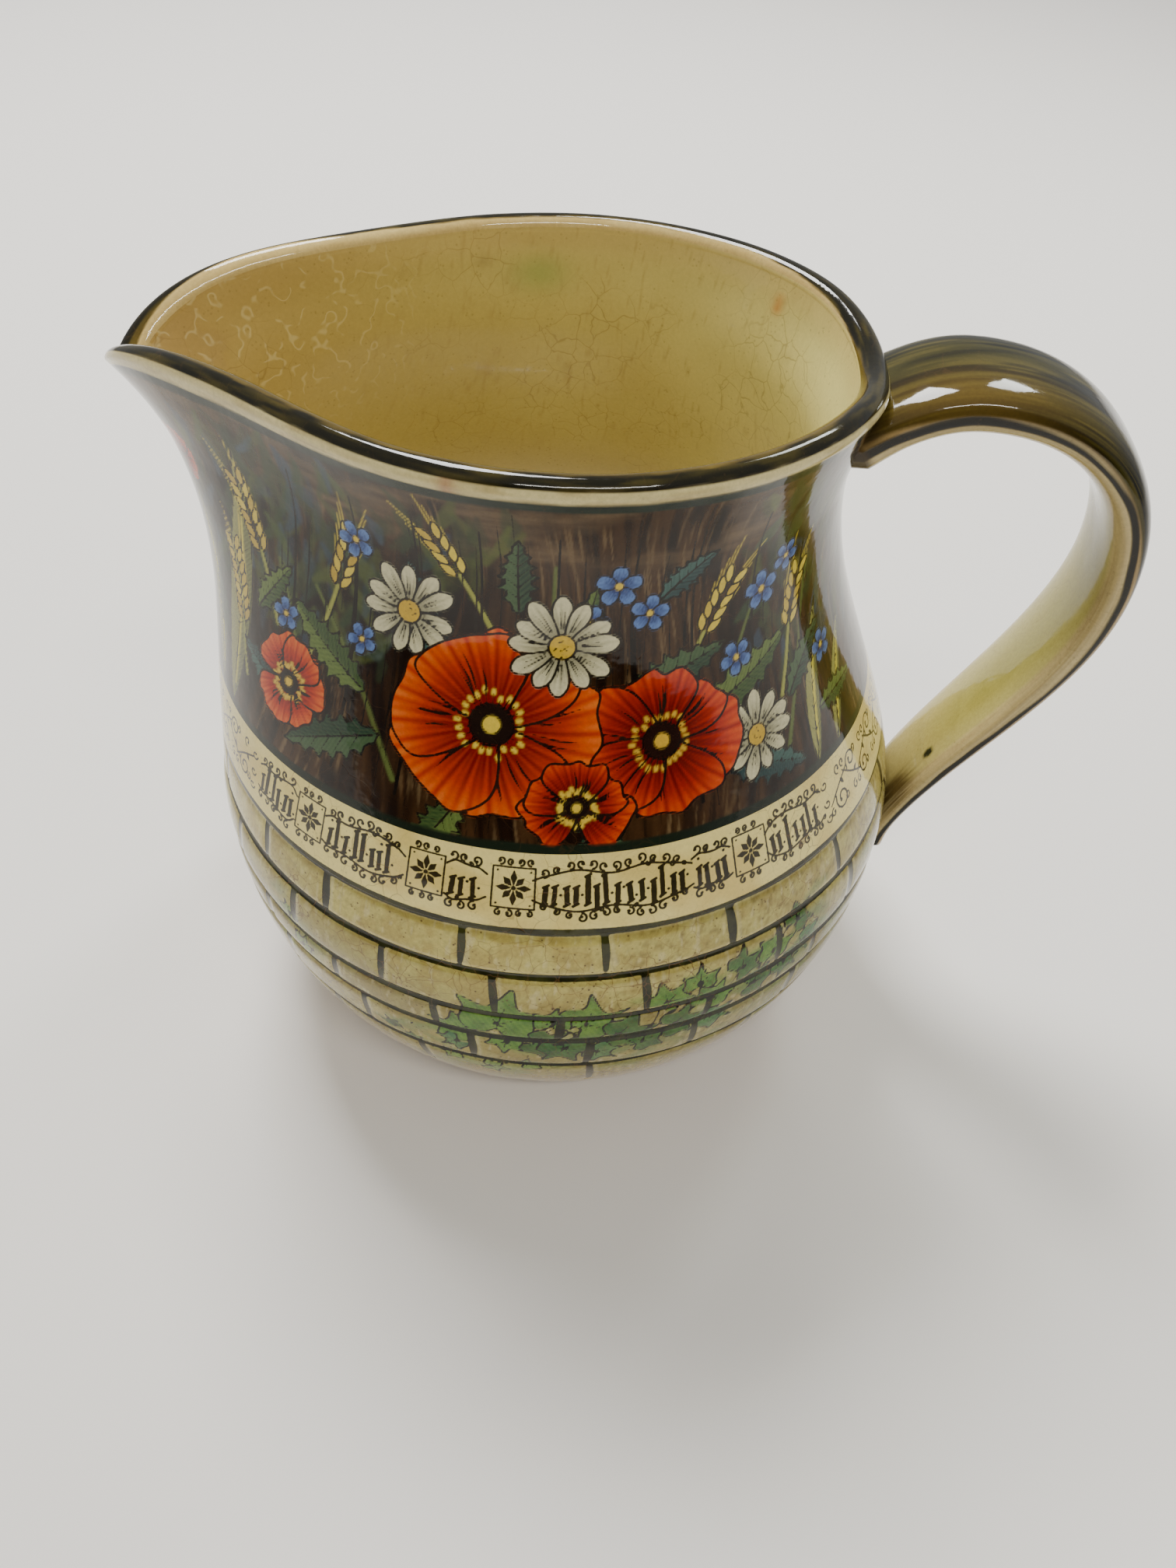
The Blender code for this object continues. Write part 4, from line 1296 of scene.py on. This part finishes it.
def brick_relief(grid):
    """How deep the moulded joints lie at each point, in metres: grooves between gently crowned blocks."""
    level = grid.level_grid
    nearest = np.min([np.abs(level - line) for line in COURSE_LINES], axis=0)
    groove = GROOVE_DEPTH * blend(1.0 - 2.0 * nearest / GROOVE_WIDTH)
    crown = BRICK_PILLOW * hump(nearest, BRICK_PILLOW_REACH)
    upright = UPRIGHT_JOINT_DEPTH * falling(grid.lines["olive"], 0.9, 1.2)
    covered = grid.outside[:, None] & (level < BAND_FOOT)
    fade = falling(level, BAND_FOOT, RELIEF_FADE)
    return np.where(covered, groove + (crown + upright) * fade, 0.0)


def make_inside():
    """The inside wall and floor; distances down from the lip are in mm."""
    heights = np.linspace(LIP_CENTRE_HEIGHT, FLOOR_HEIGHT + FLOOR_CORNER, 80)
    lifts = FLOOR_CORNER * (1 - np.sin(np.linspace(0, math.pi / 2, 10)))[1:]
    turns = np.linspace(LIP_SEAM_TURN, 0.0, 5)[:-1]
    rings = [("lip", t) for t in turns] + [("inner", h) for h in heights] + [("floor", up) for up in lifts]
    grid = Grid(columns(440, -0.35), rings)
    angle, down = grid.angle_grid, grid.arc_grid
    off_front = degrees_off(angle, FRONT)
    cloud = value_noise(angle, down, 14, 18.0, 81, 3)
    hair = value_noise(angle, down, 150, 9.0, 83, 1)
    ochre, olive, pale = shade(184, 163, 90), shade(178, 160, 90), shade(236, 226, 144)
    behind = rising(np.abs(off_front), 100, 50)
    lit = np.cos(np.radians(off_front - 75)) * 0.55 + 0.45 + 0.5 * (cloud - 0.5)
    paint = mixed(ochre, pale, blend(lit))
    paint = mixed(paint, olive, 0.5 * behind)
    # Painted light: the wall deep down and the floor are painted paler
    paint = mixed(paint, shade(232, 223, 200), rising(down, 42, 52))
    paint = mixed(paint, shade(200, 172, 104), 0.5 * falling(down, 7.0, 6.0))
    peach = hump(degrees_off(angle, SPOUT), 30) * falling(down, 50, 45)
    paint = mixed(paint, shade(172, 141, 80), 0.8 * peach)
    hairs = 0.35 * behind * blend(1.0 - np.abs(hair - 0.5) / 0.03) * falling(down, 60, 30)
    paint = mixed(paint, shade(150, 124, 70), hairs)
    for bearing, depth, width, height, tone, share in (
        (104, 8, 7, 3.0, (130, 146, 70), 0.6), (40, 5, 1.6, 1.3, (196, 112, 40), 0.8),
        (118, 5.5, 2.2, 1.2, (140, 120, 70), 0.5),
    ):
        across = degrees_off(angle, math.radians(bearing))
        paint = mixed(paint, shade(*tone), share * oval_hump(across, width, down - depth, height))
    curls = np.exp(-((degrees_off(angle, math.radians(166)) / 28) ** 4)) * falling(down, 38, 20)
    material = glaze("glaze_inside", speckle=0.25, crazing=0.35, grain=0.10, curls=True)
    painted = {"paint": paint, "curls": curls}
    centre = [AXIS_X, 0.0, FLOOR_HEIGHT]
    grid_mesh("pitcher_inside", grid.points, painted, material, centre_last=centre)


def bezier(start, first, second, end, shares):
    """Points of a cubic curve at these shares of it."""
    share = shares[:, None]
    rest = 1.0 - share
    return start * rest**3 + first * 3 * rest * rest * share + second * 3 * rest * share**2 + end * share**3


def strap_line(steps):
    """Centre line of the handle in the XZ plane, from the neck over the crown and down to the belly."""
    top_height = RIM_HEIGHT - HANDLE_TOP_BELOW_RIM
    crown_height = RIM_HEIGHT - HANDLE_CROWN_BELOW_RIM
    reach_height = RIM_HEIGHT - HANDLE_REACH_BELOW_RIM
    foot_height = BELLY_HEIGHT - HANDLE_FOOT_BELOW_BELLY
    top = np.array([float(round_radius(top_height)), top_height])
    crown = np.array([NECK_RADIUS + HANDLE_CROWN_FROM_NECK, crown_height])
    reach = np.array([BELLY_RADIUS + HANDLE_REACH_FROM_BELLY, reach_height])
    foot = np.array([float(round_radius(foot_height)), foot_height])
    rise, across = crown_height - top_height, reach[0] - crown[0]
    down, fall = crown_height - reach_height, reach_height - foot_height
    out, up = np.array([1.0, 0.0]), np.array([0.0, 1.0])
    from_top = top + rise * (TOP_ROOT_OUT * out + TOP_ROOT_UP * up)
    to_foot = foot + fall * (FOOT_ROOT_OUT * out + FOOT_ROOT_UP * up)
    curves = [
        (top, from_top, crown - CROWN_LEAD * rise * out, crown),
        (crown, crown + CROWN_TRAIL * across * out, reach + REACH_LEAD * down * up, reach),
        (reach, reach - REACH_TRAIL * fall * up, to_foot, foot),
    ]
    shares = np.arange(steps) / steps
    points = [bezier(*curve, shares) for curve in curves]
    return np.vstack(points + [foot[None]])


def strap_sizes(lengths):
    """Width and thickness of the strap along its length, flared where it is luted to the body."""
    share = lengths / lengths[-1]
    width = np.where(
        share < 0.5,
        STRAP_WIDTH_TOP + (STRAP_WIDTH_MIDDLE - STRAP_WIDTH_TOP) * blend(2 * share),
        STRAP_WIDTH_MIDDLE + (STRAP_WIDTH_FOOT - STRAP_WIDTH_MIDDLE) * blend(2 * share - 1),
    )
    thickness = STRAP_THICKNESS_TOP + (STRAP_THICKNESS_FOOT - STRAP_THICKNESS_TOP) * share
    to_root = np.minimum(lengths, lengths[-1] - lengths)
    flare = ROOT_FLARE * np.maximum(1.0 - to_root / ROOT_FLARE_LENGTH, 0.0) ** 2
    return width + flare, thickness + flare


def paint_handle(turns, lengths):
    """Streaky olive-brown outer face, cream edges with a black line along each, and a cream inner face.

    Outward goes from 1 on the outer face to -1 on the inner one, across from 1 to -1 over the strap's width,
    and distances along are in mm.
    """
    side, along = np.meshgrid(turns, 1000 * lengths)
    share = along / along.max()
    from_foot = along.max() - along
    outward, across = np.sin(side), np.cos(side)
    streak = value_noise(side, along, 46, 26.0, 91, 3)
    hairs = value_noise(side + 0.002 * along, along, 84, 12.0, 92, 2)
    wavy = 0.10 * (value_noise(side * 0, along, 4, 9.0, 93, 2) - 0.5)

    outer = mixed(shade(12, 12, 3), shade(54, 50, 16), rising(0.45 * streak + 0.55 * hairs, 0.32, 0.3))
    outer = mixed(outer, shade(88, 78, 32), 0.5 * rising(hairs, 0.6, 0.2))
    worn_edge = hump(along - 16, 16) * falling(across, 0.1, 0.9)
    outer = mixed(outer, shade(100, 80, 34), 0.7 * worn_edge)

    edge = mixed(shade(206, 188, 134), shade(180, 158, 106), hairs)
    edge_outside = mixed(shade(178, 152, 100), shade(142, 118, 74), hairs)
    edge = mixed(edge, edge_outside, rising(outward, -0.02, 0.1))

    olive_core = hump(across + 0.15, 0.38) * blend(1.2 - np.abs(share - 0.62) * 2.4)
    inner = mixed(shade(186, 174, 104), shade(142, 134, 54), 0.8 * olive_core)
    inner = mixed(inner, shade(190, 170, 112), 0.5 * rising(share, 0.72, 0.2))
    paint = mixed(inner, edge, rising(outward, -0.78, 0.16))
    outer_from = 0.04 + 0.16 * falling(share, 0.1, 0.08) + 0.50 * rising(share, 0.3, 0.3)
    paint = mixed(paint, outer, blend((outward - outer_from) / 0.16 + 0.5))

    line_at = -0.06 + 0.14 * rising(share, 0.25, 0.3) + wavy
    half = 0.085 + 0.015 * np.sin(along / 9.0) + 0.03 * rising(share, 0.6, 0.2)
    black = mixed(shade(10, 9, 4), shade(30, 27, 12), hairs)
    paint = mixed(paint, black, blend((half - np.abs(outward - line_at)) / 0.07 + 0.5))

    smudge = oval_hump(from_foot - 13.5, 6.5, across + 0.58, 0.44) * blend(-outward / 0.3)
    paint = mixed(paint, shade(66, 44, 14), 0.9 * blend(1.2 * smudge * (0.35 + hairs)))
    speck = oval_hump(from_foot - 24.6, 1.1, across + 0.42, 0.08) * (outward < 0)
    paint = mixed(paint, shade(24, 30, 20), blend(2.2 * speck))
    root_outside = falling(along, 5.5, 3.0) * rising(outward, -0.1, 0.4)
    root = np.maximum(root_outside, falling(along, 1.8, 1.6))
    return mixed(paint, mixed(shade(30, 24, 12), shade(84, 66, 36), streak), 0.85 * root)


def make_handle():
    """The strap handle, with its ends sunk into the wall."""
    line = strap_line(90)
    lengths = np.concatenate([[0.0], np.cumsum(np.linalg.norm(np.diff(line, axis=0), axis=1))])
    width, thickness = strap_sizes(lengths)
    ahead = np.gradient(line, axis=0)
    outward = np.stack([-ahead[:, 1], ahead[:, 0]], -1)
    outward /= np.linalg.norm(outward, axis=1, keepdims=True)
    around = 240
    turns = -2 * math.pi * np.arange(around) / around
    across = np.sign(np.cos(turns)) * np.abs(np.cos(turns)) ** STRAP_SOFTNESS
    through = np.sign(np.sin(turns)) * np.abs(np.sin(turns)) ** STRAP_SOFTNESS
    edge = line[:, None, :] + outward[:, None, :] * (through[None, :, None] * thickness[:, None, None] / 2)
    points = np.stack([edge[..., 0], across[None, :] * width[:, None] / 2, edge[..., 1]], -1)
    # No point lies deeper in the wall than the sunk ends, so that none comes out inside
    depth = outer_radius(np.zeros(points.shape[:2]), points[..., 2]) - STRAP_EMBED
    sunk = np.sqrt(depth**2 - points[..., 1] ** 2)
    points[..., 0] = np.maximum(points[..., 0], sunk)
    for end in (0, -1):
        points[end, :, 0] = sunk[end]
    points[..., 0] += AXIS_X
    material = glaze("glaze_handle", speckle=0.2, crazing=0.15, grain=0.2)
    grid_mesh("pitcher_handle", points, {"paint": paint_handle(turns, lengths)}, material)


def make_floor():
    """The plain pale floor that the pitcher stands on; it ends behind the camera, like a table."""
    side, front = 3.0, -0.48
    corners = [(-side, front, 0), (side, front, 0), (side, side, 0), (-side, side, 0)]
    mesh = bpy.data.meshes.new("floor")
    mesh.from_pydata(corners, [], [(0, 1, 2, 3)])
    material, shader = new_material("floor")
    shader.inputs["Base Color"].default_value = (*shade(228, 224, 217), 1.0)
    shader.inputs["Roughness"].default_value = 0.9
    mesh.materials.append(material)
    placed("floor", mesh)


def make_camera():
    """The photograph's viewpoint."""
    place = (0.00815, -0.18324, 0.22627)
    right, up = (0.99390, 0.10386, 0.03699), (-0.09956, 0.70144, 0.70575)
    backward = (0.04735, -0.70513, 0.70750)
    focal_length_pixels, frame_height_pixels, sensor_height = 1514.0, 2016.0, 36.0
    camera = bpy.data.cameras.new("camera")
    camera.sensor_fit = "VERTICAL"
    camera.sensor_height = sensor_height
    camera.lens = sensor_height * focal_length_pixels / frame_height_pixels
    camera.clip_start = 0.01
    holder = placed("camera", camera)
    axes = Matrix([right, up, backward]).transposed()
    holder.matrix_world = Matrix.Translation(place) @ axes.to_4x4()
    bpy.context.scene.camera = holder


def area_light(name, place, target, size, power, colour):
    """A soft rectangular lamp at a place, facing the target; the size is in metres, the power in watts."""
    lamp = bpy.data.lights.new(name, "AREA")
    lamp.shape = "RECTANGLE"
    lamp.size, lamp.size_y = size
    lamp.energy = power
    lamp.color = colour
    holder = placed(name, lamp)
    holder.location = place
    facing = Vector(target) - Vector(place)
    holder.rotation_euler = facing.to_track_quat("-Z", "Y").to_euler()


def make_world():
    """Soft daylight from all round, but for a dark room beyond the front of the table."""
    world = bpy.data.worlds.new("studio")
    world.use_nodes = True
    nodes = Nodes(world.node_tree, "Generated")
    room = Vector((0.05, -0.99, -0.05)).normalized()
    daylight, darkness = 0.62, 0.06
    facing = nodes.add("VectorMath", {"operation": "DOT_PRODUCT"}, i0=nodes.where, i1=room).outputs["Value"]
    background = world.node_tree.nodes["Background"]
    nodes.plug(background, "Color", (0.64, 0.65, 0.66, 1.0))
    nodes.plug(background, "Strength", nodes.ramp(facing, 0.45, 0.80, daylight, darkness))
    bpy.context.scene.world = world


def make_lights():
    """The world, a broad soft sky light from behind, a narrow ceiling light and a small window."""
    make_world()
    area_light("sky", (-0.4, 0.7, 1.4), (0, 0.15, 0.05), (0.55, 0.55), 35.0, (1.0, 1.0, 1.0))
    area_light("ceiling", (0.2, -0.8, 1.3), (0, 0, 0.05), (0.9, 0.08), 11.0, (1.0, 0.96, 0.90))
    area_light("window", (0.35, 0.55, 0.75), (0, 0, 0.1), (0.18, 0.24), 3.0, (0.95, 1.0, 0.96))


make_neck()
make_band()
make_belly()
make_inside()
make_handle()
make_floor()
make_camera()
make_lights()
